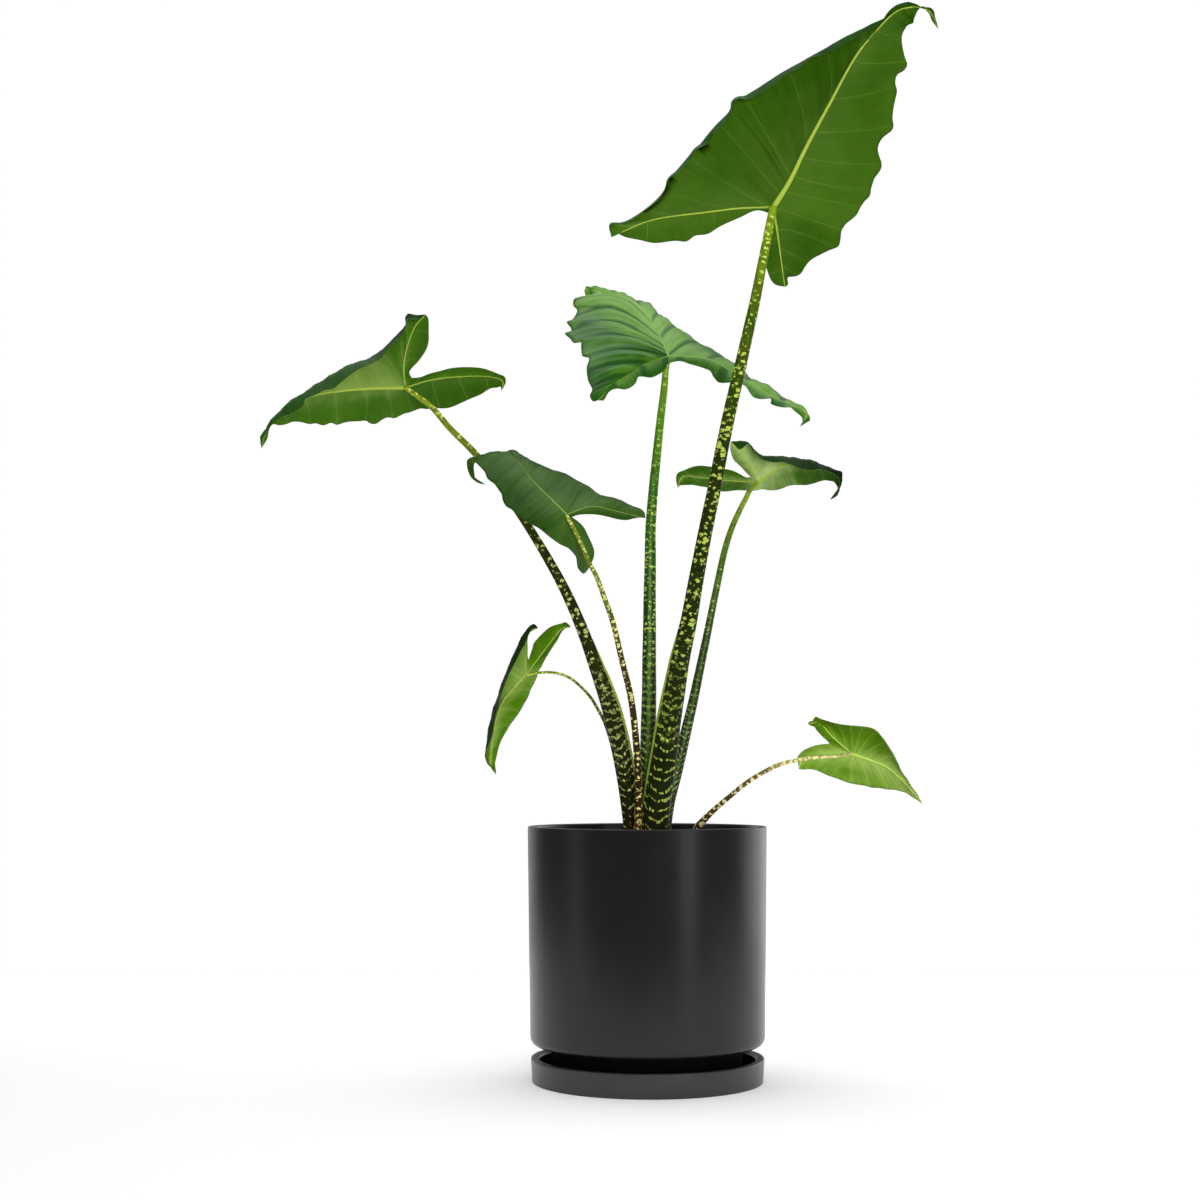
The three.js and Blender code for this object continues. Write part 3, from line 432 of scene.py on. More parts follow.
        [-98, 43.5, 388], [-102.5, 45, 385.5], [-107, 48.5, 380], [-110.5, 50.5, 374],
        [-114.5, 53.5, 365.5], [-119, 57.5, 356.5], [-122.5, 61, 348.5], [-125.5, 64, 340.5],
        [-129, 69.5, 331.5], [-132, 75, 322.5], [-135.5, 79.5, 314], [-138, 83.5, 305],
        [-140, 87, 298], [-142, 92.5, 287], [-143, 96.5, 278.5], [-143.5, 98.5, 272],
        [-141.5, 100, 265.5], [-138, 102, 262],
      ],
      "edge": [
        [-99, 42, 384], [-102.5, 42, 379.5], [-105, 43, 373], [-109, 44.5, 366], [-113, 47, 358.5],
        [-117, 50, 351.5], [-120.5, 52.5, 345], [-123, 55, 338.5], [-126, 59.5, 331.5],
        [-128.5, 63.5, 324], [-130.5, 68, 316], [-132.5, 72.5, 309], [-134.5, 77, 301.5],
        [-137, 84.5, 291.5], [-140, 90.5, 283.5], [-142.5, 94, 277.5], [-142.5, 97, 271],
        [-140.5, 100, 265], [-137, 102, 261],
      ],
    },
    "right": {
      "bow": 0.1,
      "painted_light_tints": (-0.6, 0, -0.35),
      "waves": 3,
      "wave_depth": 0.4,
      "rib": [
        [-94, 52, 359], [-82.5, 44, 373.5], [-72.5, 38, 384.5], [-65.5, 34, 385],
      ],
      "sinus": [
        [-102, 54, 361.5], [-100, 52, 367], [-98.5, 49.5, 372], [-94.5, 47, 376.5], [-90, 44.5, 381],
        [-84, 40.5, 385.5], [-78.5, 38.5, 387.5], [-74, 37.5, 388.5], [-70.5, 36, 389.5],
        [-68, 35, 388],
      ],
      "veins": [
        [-0.6, -72.5, 46, 380], [-0.35, -80, 52, 370.5], [-0.1, -85.5, 60, 360.5],
        [0.1, -93.5, 68, 346.5], [0.25, -101, 76, 330.5], [0.42, -112, 84, 313],
        [0.58, -120.5, 92, 299], [0.75, -129.5, 98, 282], [0.9, -133.5, 102, 266.5],
      ],
      "edge": [
        [-71, 40, 384], [-74.5, 46, 380.5], [-77, 49, 375.5], [-80.5, 52, 371], [-84.5, 56.5, 365.5],
        [-89, 62, 358], [-92.5, 66, 351], [-94.5, 67.5, 348], [-96, 70, 343], [-98.5, 72.5, 337.5],
        [-102, 75.5, 331.5], [-104.5, 78.5, 325.5], [-108, 81, 320], [-112, 84, 313],
        [-116.5, 88, 306.5], [-121, 91.5, 300.5], [-124, 93.5, 295.5], [-128.5, 96, 288],
        [-131.5, 98.5, 281], [-133.5, 100.5, 273], [-135, 102, 266.5], [-134.5, 103, 261],
      ],
    },
  },
  "low_right": {
    "fineness": 36,
    "columns": 24,
    "quilt": 0.6,
    "rib_scale": 0.5,
    "joint": [166, -70, 273.5],
    "notch": [147.5, -74, 281.5],
    "midrib": [
      [180.5, -72, 268.5], [194, -74, 262.5], [208, -78, 249.5], [221, -82, 233],
    ],
    "left": {
      "bow": 0.1,
      "painted_light_tints": (0, 0.1, 0.6),
      "waves": 3,
      "wave_depth": 0.6,
      "rib": [
        [145.5, -66, 271], [126.5, -63, 269.5], [123.5, -61, 261],
      ],
      "sinus": [
        [142, -73.5, 281], [135.5, -72.5, 280], [130, -70, 278], [126.5, -67, 276], [123.5, -65, 273],
        [122, -63.5, 270], [122.5, -62.5, 267],
      ],
      "veins": [
        [-0.3, 136, -54, 261], [-0.05, 154, -46, 255.5], [0, 168, -42, 248.5], [0.05, 184.5, -42, 246],
        [0.2, 198.5, -48, 244.5], [0.45, 209, -60, 241.5], [0.75, 215.5, -74, 236.5],
      ],
      "edge": [
        [127, -59, 260.5], [132.5, -56, 261], [137.5, -53, 260.5], [142, -51.5, 259],
        [148, -48.5, 256.5], [154, -46, 254.5], [159, -44.5, 252.5], [164.5, -43, 250],
        [169.5, -42, 248.5], [176, -42, 247.5], [181, -42, 247], [186, -42.5, 246], [192, -45.5, 246],
        [198.5, -48, 244.5], [202.5, -52.5, 244], [207, -57.5, 242.5], [211, -63.5, 241],
        [214.5, -70.5, 238.5], [217.5, -76.5, 236.5],
      ],
    },
    "right": {
      "bow": 0.1,
      "painted_light_tints": (-0.6, -0.3, 0.4),
      "waves": 3,
      "wave_depth": 0.6,
      "rib": [
        [149.5, -80, 287], [136.5, -90, 299], [128, -93, 297],
      ],
      "sinus": [
        [145, -76, 284], [140.5, -80, 287.5], [138, -82.5, 290], [135.5, -85, 292.5],
        [133.5, -87.5, 295], [130.5, -90, 296],
      ],
      "veins": [
        [-0.3, 134, -97, 303.5], [-0.1, 150, -98, 298.5], [0, 161, -101, 297],
        [0.02, 171, -102, 294.5], [0.05, 182, -102, 291.5], [0.12, 190.5, -100, 283.5],
        [0.3, 196.5, -96, 270.5], [0.5, 203.5, -90, 258.5], [0.8, 213, -85, 245.5],
      ],
      "edge": [
        [128.5, -94, 299], [131, -94.5, 299.5], [132, -95.5, 301.5], [134, -96.5, 303],
        [137, -97, 301.5], [142, -97.5, 300], [146.5, -98, 298.5], [154, -99, 297], [161, -101, 296],
        [167, -101.5, 295], [173.5, -102, 294], [178, -102, 293], [182, -102, 291],
        [185.5, -101, 287.5], [189, -100, 283.5], [192, -98.5, 279], [195, -97, 274.5],
        [198, -95, 269], [200.5, -93, 264.5], [202.5, -91, 260.5], [205.5, -89, 256.5],
        [209, -87.5, 252], [211.5, -86, 248], [215, -84.5, 243.5], [218, -83, 238.5],
      ],
    },
  },
}

# The stalks, from the soil up: place, radius and the width of the sheath's wing. A wing's side is an
# angle about the stalk, 0 to the right and counter-clockwise seen from above.
STALKS = {
  "tall_right": {
    "wing_side": 3.14,
    "route": [
      [6, -4, 203, 11.6], [6.5, -4, 211, 11.6], [8, -4, 226.5, 11.4, 0.8], [12.5, -6, 256, 11.0, 1.6],
      [17, -9, 285.5, 10.0, 2.2], [22.5, -14, 319.5, 8.8, 2.5], [28.5, -19, 353, 7.6, 2],
      [35.5, -24, 386.5, 6.8, 0.5], [44.5, -28, 437.5, 6.2], [56.5, -32, 496.5, 5.8],
      [68.5, -36, 556, 5.5], [78, -38, 597, 5.2], [92, -39, 658.5, 4.5], [101.5, -38, 706.5, 3.8],
      [108.5, -34, 741, 3.4],
    ],
  },
  "far_left": {
    "wing_side": 0,
    "route": [
      [-13, 2, 202.5, 7.2], [-13, 2, 211, 7.2], [-14.5, 1.5, 226.5, 7.3, 1], [-18, 0.5, 252, 7.4, 2],
      [-25, -0.5, 286, 7.2, 3], [-31.5, -1, 311.5, 6.8, 3.2], [-40, 0, 337, 5.8, 3],
      [-52, 2, 371.5, 5.0, 0.5], [-66, 4, 406, 4.6], [-81.5, 7, 436, 4.1], [-107, 10, 478, 3.6],
      [-147, 12, 533, 2.9], [-171, 13, 557.5, 2.6], [-187.5, 13, 576.5, 2.4], [-200, 12, 586, 2.2],
      [-210, 8, 593, 1.9],
    ],
  },
  "centre_back": {
    "route": [
      [-3.5, 15, 202, 7.2], [-3, 15, 210.5, 7.2], [-1.5, 15, 234.5, 7.2], [1, 17.5, 269, 7.0],
      [2.5, 25, 321, 6.4], [3, 31, 356, 6.1], [3.5, 38, 391.5, 5.7], [4.5, 48, 445.5, 5.1],
      [5.5, 56, 482.5, 4.6], [12.5, 68, 556.5, 3.8], [18.5, 75, 608, 3.2], [20, 75, 624, 2.8],
      [22.5, 72, 633.5, 2.4],
    ],
  },
  "mid_left": {
    "route": [
      [-8, -14.5, 203, 3.4], [-8, -15, 211.5, 3.4], [-7.5, -18.5, 243.5, 3.2], [-9.5, -30, 281, 2.9],
      [-14, -48, 318, 2.7], [-22, -66, 350.5, 2.4], [-30, -83, 382, 2.2], [-36, -91, 398.5, 2.1],
      [-42.5, -97, 415.5, 1.9], [-49, -100, 428, 1.7], [-56, -100, 444.5, 1.6],
      [-62.5, -97, 457.5, 1.5], [-67, -91, 466.5, 1.5],
    ],
  },
  "mid_right": {
    "wing_side": 3.6,
    "route": [
      [15.5, 12, 202, 5.0], [16, 12, 210.5, 5.0], [19.5, 14, 233, 5.0, 0.6], [25.5, 17, 256, 4.9, 0.8],
      [33, 24, 286, 4.6, 0.8], [41.5, 33, 321, 4.1, 0.4], [49.5, 43, 356.5, 3.7],
      [57.5, 53, 392.5, 3.3], [63.5, 60, 420, 3.1], [71, 68, 453, 2.9], [78, 75, 475.5, 2.7],
      [85.5, 80, 492.5, 2.5], [92.5, 84, 506, 2.3], [97, 86, 514.5, 2.2], [103, 88, 520.5, 2.0],
    ],
  },
  "low_left": {
    "route": [
      [-16, 13.5, 202, 2.0], [-16.5, 14, 210.5, 2.0], [-22.5, 22, 251.5, 1.8], [-29.5, 31, 282, 1.6],
      [-36.5, 39, 303, 1.4], [-42, 43, 313.5, 1.4], [-48, 46, 323.5, 1.3], [-56.5, 49, 333, 1.2],
      [-65.5, 52, 340.5, 1.2], [-75.5, 54, 345, 1.2], [-86, 56, 346.5, 1.2], [-95, 57, 346, 1.1],
      [-104.5, 58, 344, 1.1],
    ],
  },
  "low_right": {
    "route": [
      [40.5, -8, 203, 3.5], [42, -10, 210.5, 3.4], [46, -16, 216.5, 3.0], [54.5, -27, 226, 2.3],
      [68, -41, 238.5, 2.0], [80.5, -54, 249.5, 1.9], [93.5, -64, 258, 1.8], [106, -72, 264.5, 1.8],
      [122, -77, 268.5, 1.5], [144, -77, 271, 1.3], [154, -76, 271.5, 1.2], [165, -73, 273.5, 1.1],
    ],
  },
}

# Leaf finishes. The colours are deep tissue, light tissue, side veins, midrib and rim. Widths are in mm,
# and the tissue along a side vein is made lighter by a value above 0 and deeper by one below 0; the
# deeper band is painted shade in the groove beside the vein.
UPPER_SIDE = {"roughness": 0.38, "vein_width": 0.7, "vein_show": 0.35}
UNDER_SIDE = {"roughness": 0.5, "vein_width": 0.55, "vein_show": 0.4, "vein_shade_and_tone": 0.08, "gloss": 0.03}
LEAF_FINISH = {
    "tall_right": {
        "upper": ("#1a4408", "#2c5c12", "#2c4a1c", "#6d9440", "#3f6420"),
        "under": ("#2f5607", "#476b1a", "#7a9a3c", "#a4bc48", "#3c5a18"),
        "coat": {"gloss": 0.12, "vein_shade_and_tone": -0.3},
    },
    "far_left": {
        "upper": ("#183c0c", "#285018", "#2c4a1c", "#6d9440", "#2f5018"),
        "under": ("#3c6610", "#7a9644", "#86a24c", "#9cb448", "#4c6a22"),
        "coat": {"gloss": 0.12, "vein_shade_and_tone": -0.3},
    },
    "centre_back": {
        "upper": ("#1c5404", "#68982e", "#1e4c0a", "#8cb450", "#4a7420"),
        "under": ("#4c7a18", "#749430", "#93a83c", "#9fb83c", "#5e7a20"),
        "coat": {"gloss": 0.36, "vein_shade_and_tone": -0.65},
    },
    "mid_left": {
        "upper": ("#1c3c08", "#3e5e20", "#34541e", "#7a9a48", "#304e18"),
        "under": ("#456c14", "#647e32", "#83a040", "#8fa83c", "#526c20"),
        "coat": {"gloss": 0.1, "vein_shade_and_tone": -0.15},
    },
    "mid_right": {
        "upper": ("#14300a", "#234812", "#2c4a1c", "#6d9440", "#3f5a28"),
        "under": ("#3c6610", "#a4be72", "#8ca44c", "#9fb83c", "#55702a"),
        "coat": {"gloss": 0.1, "vein_shade_and_tone": -0.3},
    },
    "low_left": {
        "upper": ("#16280a", "#263e12", "#2c4a1c", "#7a9a44", "#3f5a28"),
        "under": ("#4c780c", "#a0bc62", "#94ac4c", "#a0b850", "#55702a"),
        "coat": {"gloss": 0.14, "vein_shade_and_tone": -0.2},
    },
    "low_right": {
        "upper": ("#2c4618", "#4a6a2a", "#3c5a24", "#8aa64a", "#3f5a28"),
        "under": ("#527a0c", "#a2c25c", "#a8c860", "#b4cc60", "#587424"),
        "coat": {"gloss": 0.45, "vein_shade_and_tone": -0.2},
    },
}

# Stalk finishes. Ground's colours run from the soil at 0 to the blade at 1, and tones are the flecks' low
# and high up. Flecks are about gap mm apart and fleck times that in radius, in rows so many mm apart, and
# cover is the share of a row's width that has them. Threads is how far they turn to beads near the soil.
# A wing has its colour and the share of its width where that starts.
STALK_FINISH = {
    "tall_right": {
        "ground": [(0, "#20200c"), (0.1, "#1c2408"), (0.6, "#263406"), (0.82, "#4a6210"), (0.97, "#86a41e")],
        "tones": ("#a3b850", "#c0d858"), "gap": 4.3, "fleck": (0.22, 0.56), "row": 9, "cover": 0.9,
        "roughness": 0.5, "gloss": 0.08, "threads": 1, "wing": ("#84a22c", 0.5),
    },
    "far_left": {
        "ground": [(0, "#2c220c"), (0.08, "#20220a"), (0.55, "#2a3208"), (0.75, "#4e6010"), (1, "#90a626")],
        "tones": ("#b4c070", "#ccd870"), "gap": 4.6, "fleck": (0.22, 0.54), "row": 7.5, "cover": 0.9,
        "roughness": 0.5, "gloss": 0.08, "threads": 0.8, "wing": ("#90a030", 0.45),
    },
    "centre_back": {
        "ground": [
            (0, "#1c280a"), (0.15, "#1e340a"), (0.5, "#22460a"), (0.72, "#386c10"), (0.86, "#5c9012"),
            (0.97, "#7ca828"),
        ],
        "tones": ("#a4bc5c", "#a8c860"), "gap": 3.1, "fleck": (0.28, 0.55), "row": 6.4, "cover": 0.6,
        "roughness": 0.36, "gloss": 0.2, "threads": 0.7, "painted_sheen": 0.36,
    },
    "mid_left": {
        "ground": [
            (0, "#7a4a20"), (0.08, "#34220e"), (0.55, "#3c3414"), (0.72, "#64701e"), (0.97, "#829430"),
        ],
        "tones": ("#d8d284", "#ccd070"), "gap": 3.2, "fleck": (0.3, 0.52), "row": 5, "cover": 1.1,
        "roughness": 0.5, "gloss": 0.1, "threads": 0,
    },
    "mid_right": {
        "ground": [(0, "#20280c"), (0.1, "#182408"), (0.5, "#263a0e"), (0.8, "#54781a"), (0.97, "#86a028")],
        "tones": ("#a4b470", "#b4c860"), "gap": 2.6, "fleck": (0.1, 0.44), "row": 5, "cover": 0.7,
        "roughness": 0.4, "gloss": 0.2, "threads": 0.6, "painted_sheen": 0.22, "wing": ("#8a9a4c", 0.8),
    },
    "low_left": {
        "ground": [(0, "#4a4a14"), (0.5, "#46501a"), (0.8, "#5a6a1c"), (1, "#96b03c")],
        "tones": ("#b4bc54", "#b4c854"), "gap": 2.4, "fleck": (0.3, 0.56), "row": 4, "cover": 1.1,
        "roughness": 0.5, "gloss": 0.1, "threads": 0,
    },
    "low_right": {
        "ground": [(0, "#4a3414"), (0.3, "#5c4a20"), (0.55, "#746830"), (0.68, "#aca460"), (1, "#c0c070")],
        "tones": ("#e6e0a8", "#d4d08c"), "gap": 4, "fleck": (0.38, 0.6), "row": 5, "cover": 1.1,
        "roughness": 0.5, "gloss": 0.1, "threads": 0,
    },
}

# Colours and nodes
def linear(hex_colour):
    """Turns an sRGB hex colour into the linear colour that shaders take."""
    channels = [int(hex_colour[i:i + 2], 16) / 255 for i in (1, 3, 5)]
    values = [c / 12.92 if c <= 0.04045 else ((c + 0.055) / 1.055) ** 2.4 for c in channels]
    return (*values, 1.0)


def add(tree, kind, inputs=(), **settings):
    """Adds a shader node and gives its main output. Each input is a value, or an output to link.

    Of a MapRange node, 1 and 2 are where the value starts and ends, and 3 and 4 what it then gives. Of
    a Mix of colours, 0 is the second one's share, and 6 and 7 are the two."""
    node = tree.nodes.new("ShaderNode" + kind)
    for name, value in settings.items():
        setattr(node, name, value)
    for socket, value in dict(inputs).items():
        if isinstance(value, bpy.types.NodeSocket):
            tree.links.new(value, node.inputs[socket])
        else:
            node.inputs[socket].default_value = value
    return next(output for output in node.outputs if output.enabled)


# For a value that eases in and out
SMOOTH = {"interpolation_type": "SMOOTHSTEP"}


def new_material(name, **values):
    """Starts a material and sets its shader's constant values, with _ for the space in a socket's name."""
    material = bpy.data.materials.new(name)
    material.use_nodes = True
    tree = material.node_tree
    shader = tree.nodes["Principled BSDF"]
    for socket, value in values.items():
        shader.inputs[socket.replace("_", " ")].default_value = value
    return material, tree, shader


def stored(tree, field):
    """The three numbers that a mesh keeps at each point under a field's name."""
    vector = add(tree, "Attribute", attribute_name=field).node.outputs["Vector"]
    return add(tree, "SeparateXYZ", {0: vector}).node.outputs


# Scales of textures whose coordinates are in metres, so that one feature is that many millimetres
def per_mm(size):
    return 1 / (size * MM)


# Sizes on a leaf's skin, in millimetres. Real pores are too fine to show, so these are drawn coarse.
VEIN_BAND_WIDTH = 5
RIM_WIDTH = 1
PATCH_SIZE = 38
PORE_SIZE = 1.2


# Leaf skin: waxy cuticle over green tissue. It gives a satin green with paler veins and a thin rim.
def leaf_skin(name, tones, roughness, gloss, vein_width, vein_show, vein_shade_and_tone, raised):
    deep, light, vein, rib, rim = (linear(tone) for tone in tones)
    material, tree, shader = new_material(name, IOR=1.45, Specular_IOR_Level=gloss)
    place, spacing, share = stored(tree, "vein_grid")
    from_rib, from_edge, rib_half = stored(tree, "leaf_mm")
    # Painted light and shade, partly the leaf's own tone, set by the place on the blade
    painted_light_tint = stored(tree, "leaf_painted_light_tint")[0]
    beside = add(tree, "Math", {0: place, 1: 0.5}, operation="PINGPONG")
    beside = add(tree, "Math", {0: beside, 1: spacing}, operation="MULTIPLY")
    fine = add(tree, "MapRange", {0: share, 3: vein_width, 4: 0.45 * vein_width})
    lateral = add(tree, "MapRange", {0: beside, 1: fine, 2: 0}, **SMOOTH)
    vein_band = add(tree, "MapRange", {0: beside, 1: VEIN_BAND_WIDTH, 2: 0}, **SMOOTH)
    outer = add(tree, "Math", {0: rib_half, 1: 0.7}, operation="ADD")
    midrib = add(tree, "MapRange", {0: from_rib, 1: outer, 2: rib_half}, **SMOOTH)
    edge = add(tree, "MapRange", {0: from_edge, 1: RIM_WIDTH, 2: 0, 4: 0.8}, **SMOOTH)
    where = add(tree, "TexCoord").node.outputs["Object"]
    cloudy = {"Vector": where, "Scale": per_mm(PATCH_SIZE), "Detail": 3, "Roughness": 0.55}
    patches = add(tree, "TexNoise", cloudy)

    # Streaks run out with the side veins, so they are drawn on the vein grid.
    lines = add(tree, "Math", {0: place, 1: 13}, operation="MULTIPLY")
    strip = add(tree, "CombineXYZ", {0: lines, 1: share, 2: 0})
    streaks = add(tree, "TexNoise", {"Vector": strip, "Scale": 1.6, "Detail": 2})

    # How light the tissue is: a sum of the tints, which are painted light and shade, a painted sheen
    # that grows towards the midrib, the band beside the side veins, the streaks and the patches.
    rib_sheen = add(tree, "MapRange", {0: share, 1: 0.7, 2: 0, 4: 0.5})
    # Beside the side veins the upper side is darkened, painted shade in their grooves, and the underside is
    # made a little paler
    blend = add(tree, "Math", {0: vein_band, 1: vein_shade_and_tone, 2: painted_light_tint}, operation="MULTIPLY_ADD")
    blend = add(tree, "Math", {0: streaks, 1: 0.55, 2: blend}, operation="MULTIPLY_ADD")
    blend = add(tree, "Math", {0: patches, 1: 1.1, 2: blend}, operation="MULTIPLY_ADD")
    blend = add(tree, "Math", {0: blend, 1: rib_sheen}, operation="ADD")
    tissue = add(tree, "MapRange", {0: blend, 1: 0.65, 2: 1.55})
    colour = add(tree, "Mix", {0: tissue, 6: deep, 7: light}, data_type="RGBA")
    # Painted shade: where the sum falls low, the colour is darkened below the deep tone
    shade = add(tree, "MapRange", {0: blend, 1: -0.3, 2: 0.65, 3: 0.4})
    colour = add(tree, "VectorMath", {0: colour, "Scale": shade}, operation="SCALE")

    thread = add(tree, "Math", {0: lateral, 1: vein_show}, operation="MULTIPLY")
    colour = add(tree, "Mix", {0: thread, 6: colour, 7: vein}, data_type="RGBA")
    colour = add(tree, "Mix", {0: midrib, 6: colour, 7: rib}, data_type="RGBA")
    colour = add(tree, "Mix", {0: edge, 6: colour, 7: rim}, data_type="RGBA")
    tree.links.new(colour, shader.inputs["Base Color"])

    sheen = add(tree, "MapRange", {0: patches, 3: roughness - 0.06, 4: roughness + 0.08})
    tree.links.new(sheen, shader.inputs["Roughness"])
    pores = add(tree, "TexNoise", {"Vector": where, "Scale": per_mm(PORE_SIZE), "Detail": 2})
    relief = add(tree, "Math", {0: pores, 1: 0.15, 2: streaks}, operation="MULTIPLY_ADD")
    relief = add(tree, "Math", {0: lateral, 1: raised, 2: relief}, operation="MULTIPLY_ADD")
    bump = add(tree, "Bump", {"Strength": 0.35, "Distance": 0.5 * MM, "Height": relief})
    tree.links.new(bump, shader.inputs["Normal"])
    return material


# Sizes on a stalk's skin, in millimetres. Arch top is the height up to which the flecks near the soil fall
# into bowed rows of small beads.
ARCH_TOP = 170
FRAY_SIZE = 2.5
DRIFT_SIZE = 12
BEAD_GAP = 2.2
BREAK_SIZE = 4
CLOUD_SIZE = 6


# Stalk skin: a smooth waxy rind with pale flecks in rows on a dark ground, the mottling of the species.
# A pale band painted down the middle of the front and the back is painted sheen, standing in for a
# reflection of light.
def stalk_skin(
    name, ground, tones, gap, fleck, row, cover, roughness, gloss, threads, wing=("#6f8a24", 0.6), painted_sheen=0
):
    material, tree, shader = new_material(name, IOR=1.45, Specular_IOR_Level=gloss)
    where = add(tree, "Attribute", attribute_name="stalk_mm").node.outputs["Vector"]
    share, flap, height = stored(tree, "stalk_zone")
    aside = stored(tree, "stalk_aside")[0]
    ramp = add(tree, "ValToRGB", {0: share})
    stops = ramp.node.color_ramp.elements
    while len(stops) < len(ground):
        stops.new(0.5)
    for stop, (place, colour) in zip(stops, ground):
        stop.position = place
        stop.color = linear(colour)

    # Flecks: frayed cells, each with a size of its own
    wander = add(tree, "TexNoise", {"Vector": where, "Scale": 1 / FRAY_SIZE, "Detail": 1})
    wander = wander.node.outputs["Color"]
    frayed = add(tree, "VectorMath", {0: wander, 1: (4, 4, 4), 2: where}, operation="MULTIPLY_ADD")
    frayed = add(tree, "VectorMath", {0: frayed, 1: (0.8, 0.8, 1.2)}, operation="MULTIPLY")
    cells = add(tree, "TexVoronoi", {"Vector": frayed, "Scale": 1 / gap, "Randomness": 0.8})
    chance = add(tree, "SeparateColor", {0: cells.node.outputs["Color"]})
    size = add(tree, "MapRange", {0: chance, 3: fleck[0], 4: fleck[1]})
    inside = add(tree, "Math", {0: size, 1: 0.12}, operation="SUBTRACT")
    dots = add(tree, "MapRange", {0: cells, 1: size, 2: inside})

    # Rows that drift up and down, and give way to beads where it is low
    drift = add(tree, "TexNoise", {"Vector": where, "Scale": 1 / DRIFT_SIZE, "Detail": 1})
    phase = add(tree, "Math", {0: height, 1: 1 / row}, operation="MULTIPLY")
    phase = add(tree, "Math", {0: drift, 1: 1.2, 2: phase}, operation="MULTIPLY_ADD")
    wave = add(tree, "Math", {0: phase, 1: 0.5}, operation="PINGPONG")
    rows = add(tree, "MapRange", {0: wave, 1: 0.5 * cover + 0.06, 2: 0.5 * cover - 0.06})
    low = add(tree, "MapRange", {0: height, 1: ARCH_TOP, 2: 0, 4: threads})
    few = add(tree, "MapRange", {0: low, 1: 0.6, 2: 0})
    flecks = add(tree, "Math", {0: dots, 1: rows}, operation="MULTIPLY")
    flecks = add(tree, "Math", {0: flecks, 1: few}, operation="MULTIPLY")

    # Beads along a fine broken line in the middle of each row
    drawn = add(tree, "VectorMath", {0: where, 1: (1, 1, 0.5)}, operation="MULTIPLY")
    beads = add(tree, "TexVoronoi", {"Vector": drawn, "Scale": 1 / BEAD_GAP, "Randomness": 0.7})
    beads = add(tree, "MapRange", {0: beads, 1: 0.52, 2: 0.32}, **SMOOTH)
    string = add(tree, "MapRange", {0: wave, 1: 0.2, 2: 0.1}, **SMOOTH)
    beads = add(tree, "Math", {0: beads, 1: string}, operation="MULTIPLY")
    line = add(tree, "MapRange", {0: wave, 1: 0.09, 2: 0.03}, **SMOOTH)
    breaks = add(tree, "TexNoise", {"Vector": where, "Scale": 1 / BREAK_SIZE, "Detail": 0})
    breaks = add(tree, "MapRange", {0: breaks, 1: 0.5, 2: 0.6, 4: 0.8})
    line = add(tree, "Math", {0: line, 1: breaks}, operation="MULTIPLY")
    line = add(tree, "Math", {0: line, 1: beads}, operation="MAXIMUM")
    full = add(tree, "MapRange", {0: low, 2: 0.45})
    line = add(tree, "Math", {0: line, 1: full}, operation="MULTIPLY")
    flecks = add(tree, "Math", {0: flecks, 1: line}, operation="MAXIMUM")

    # Colour: a cloudy ground, a painted sheen down the middle, the wing's rim, and the flecks over all of
    # them
    cloud = add(tree, "TexNoise", {"Vector": where, "Scale": 1 / CLOUD_SIZE, "Detail": 3})
    dim = add(tree, "MapRange", {0: cloud, 1: 0.3, 2: 0.7, 3: 0.45})
    colour = add(tree, "Mix", {0: dim, 6: linear("#0c1104"), 7: ramp}, data_type="RGBA")
    if painted_sheen:
        # Painted highlight: a pale band down the front and the back, fading out towards the blade
        face = add(tree, "MapRange", {0: aside, 1: 0.45, 2: 0.05, 4: painted_sheen}, **SMOOTH)
        below = add(tree, "MapRange", {0: share, 1: 0.85, 2: 0.55}, **SMOOTH)
        face = add(tree, "Math", {0: face, 1: below}, operation="MULTIPLY")
        colour = add(tree, "Mix", {0: face, 6: colour, 7: linear("#80a058")}, data_type="RGBA")
    rim = add(tree, "MapRange", {0: flap, 1: wing[1], 2: wing[1] + 0.15})
    colour = add(tree, "Mix", {0: rim, 6: colour, 7: linear(wing[0])}, data_type="RGBA")
    up = add(tree, "MapRange", {0: share, 1: 0.5, 2: 0.95})
    spot = add(tree, "Mix", {0: up, 6: linear(tones[0]), 7: linear(tones[1])}, data_type="RGBA")
    colour = add(tree, "Mix", {0: flecks, 6: colour, 7: spot}, data_type="RGBA")
    tree.links.new(colour, shader.inputs["Base Color"])

    shine = add(tree, "MapRange", {0: cloud, 3: roughness - 0.05, 4: roughness + 0.08})
    tree.links.new(shine, shader.inputs["Roughness"])
    bump = add(tree, "Bump", {"Strength": 0.3, "Distance": 0.2 * MM, "Height": flecks})
    tree.links.new(bump, shader.inputs["Normal"])
    return material


# Satin black glaze on stoneware: nearly black, with soft reflections and a faint grain from the firing,
# which is drawn coarser than it is so that it shows. With little gloss and a near black colour it is
# painted shade under the pot and in the saucer, a black gap where shade falls.
def satin_glaze(name, body, wear, gloss, roughness):
    material, tree, shader = new_material(name, IOR=1.5, Specular_IOR_Level=gloss)
    where = add(tree, "TexCoord").node.outputs["Object"]
    cloud = add(tree, "TexNoise", {"Vector": where, "Scale": per_mm(30), "Detail": 4})
    grain = add(tree, "TexNoise", {"Vector": where, "Scale": per_mm(1.5), "Detail": 2})
    colour = add(tree, "Mix", {0: cloud, 6: linear(body), 7: linear(wear)}, data_type="RGBA")
    tree.links.new(colour, shader.inputs["Base Color"])
    haze = add(tree, "MapRange", {0: cloud, 3: roughness, 4: roughness + 0.06})
    tree.links.new(haze, shader.inputs["Roughness"])
    bump = add(tree, "Bump", {"Strength": 0.15, "Distance": 0.1 * MM, "Height": grain})
    tree.links.new(bump, shader.inputs["Normal"])
    return material


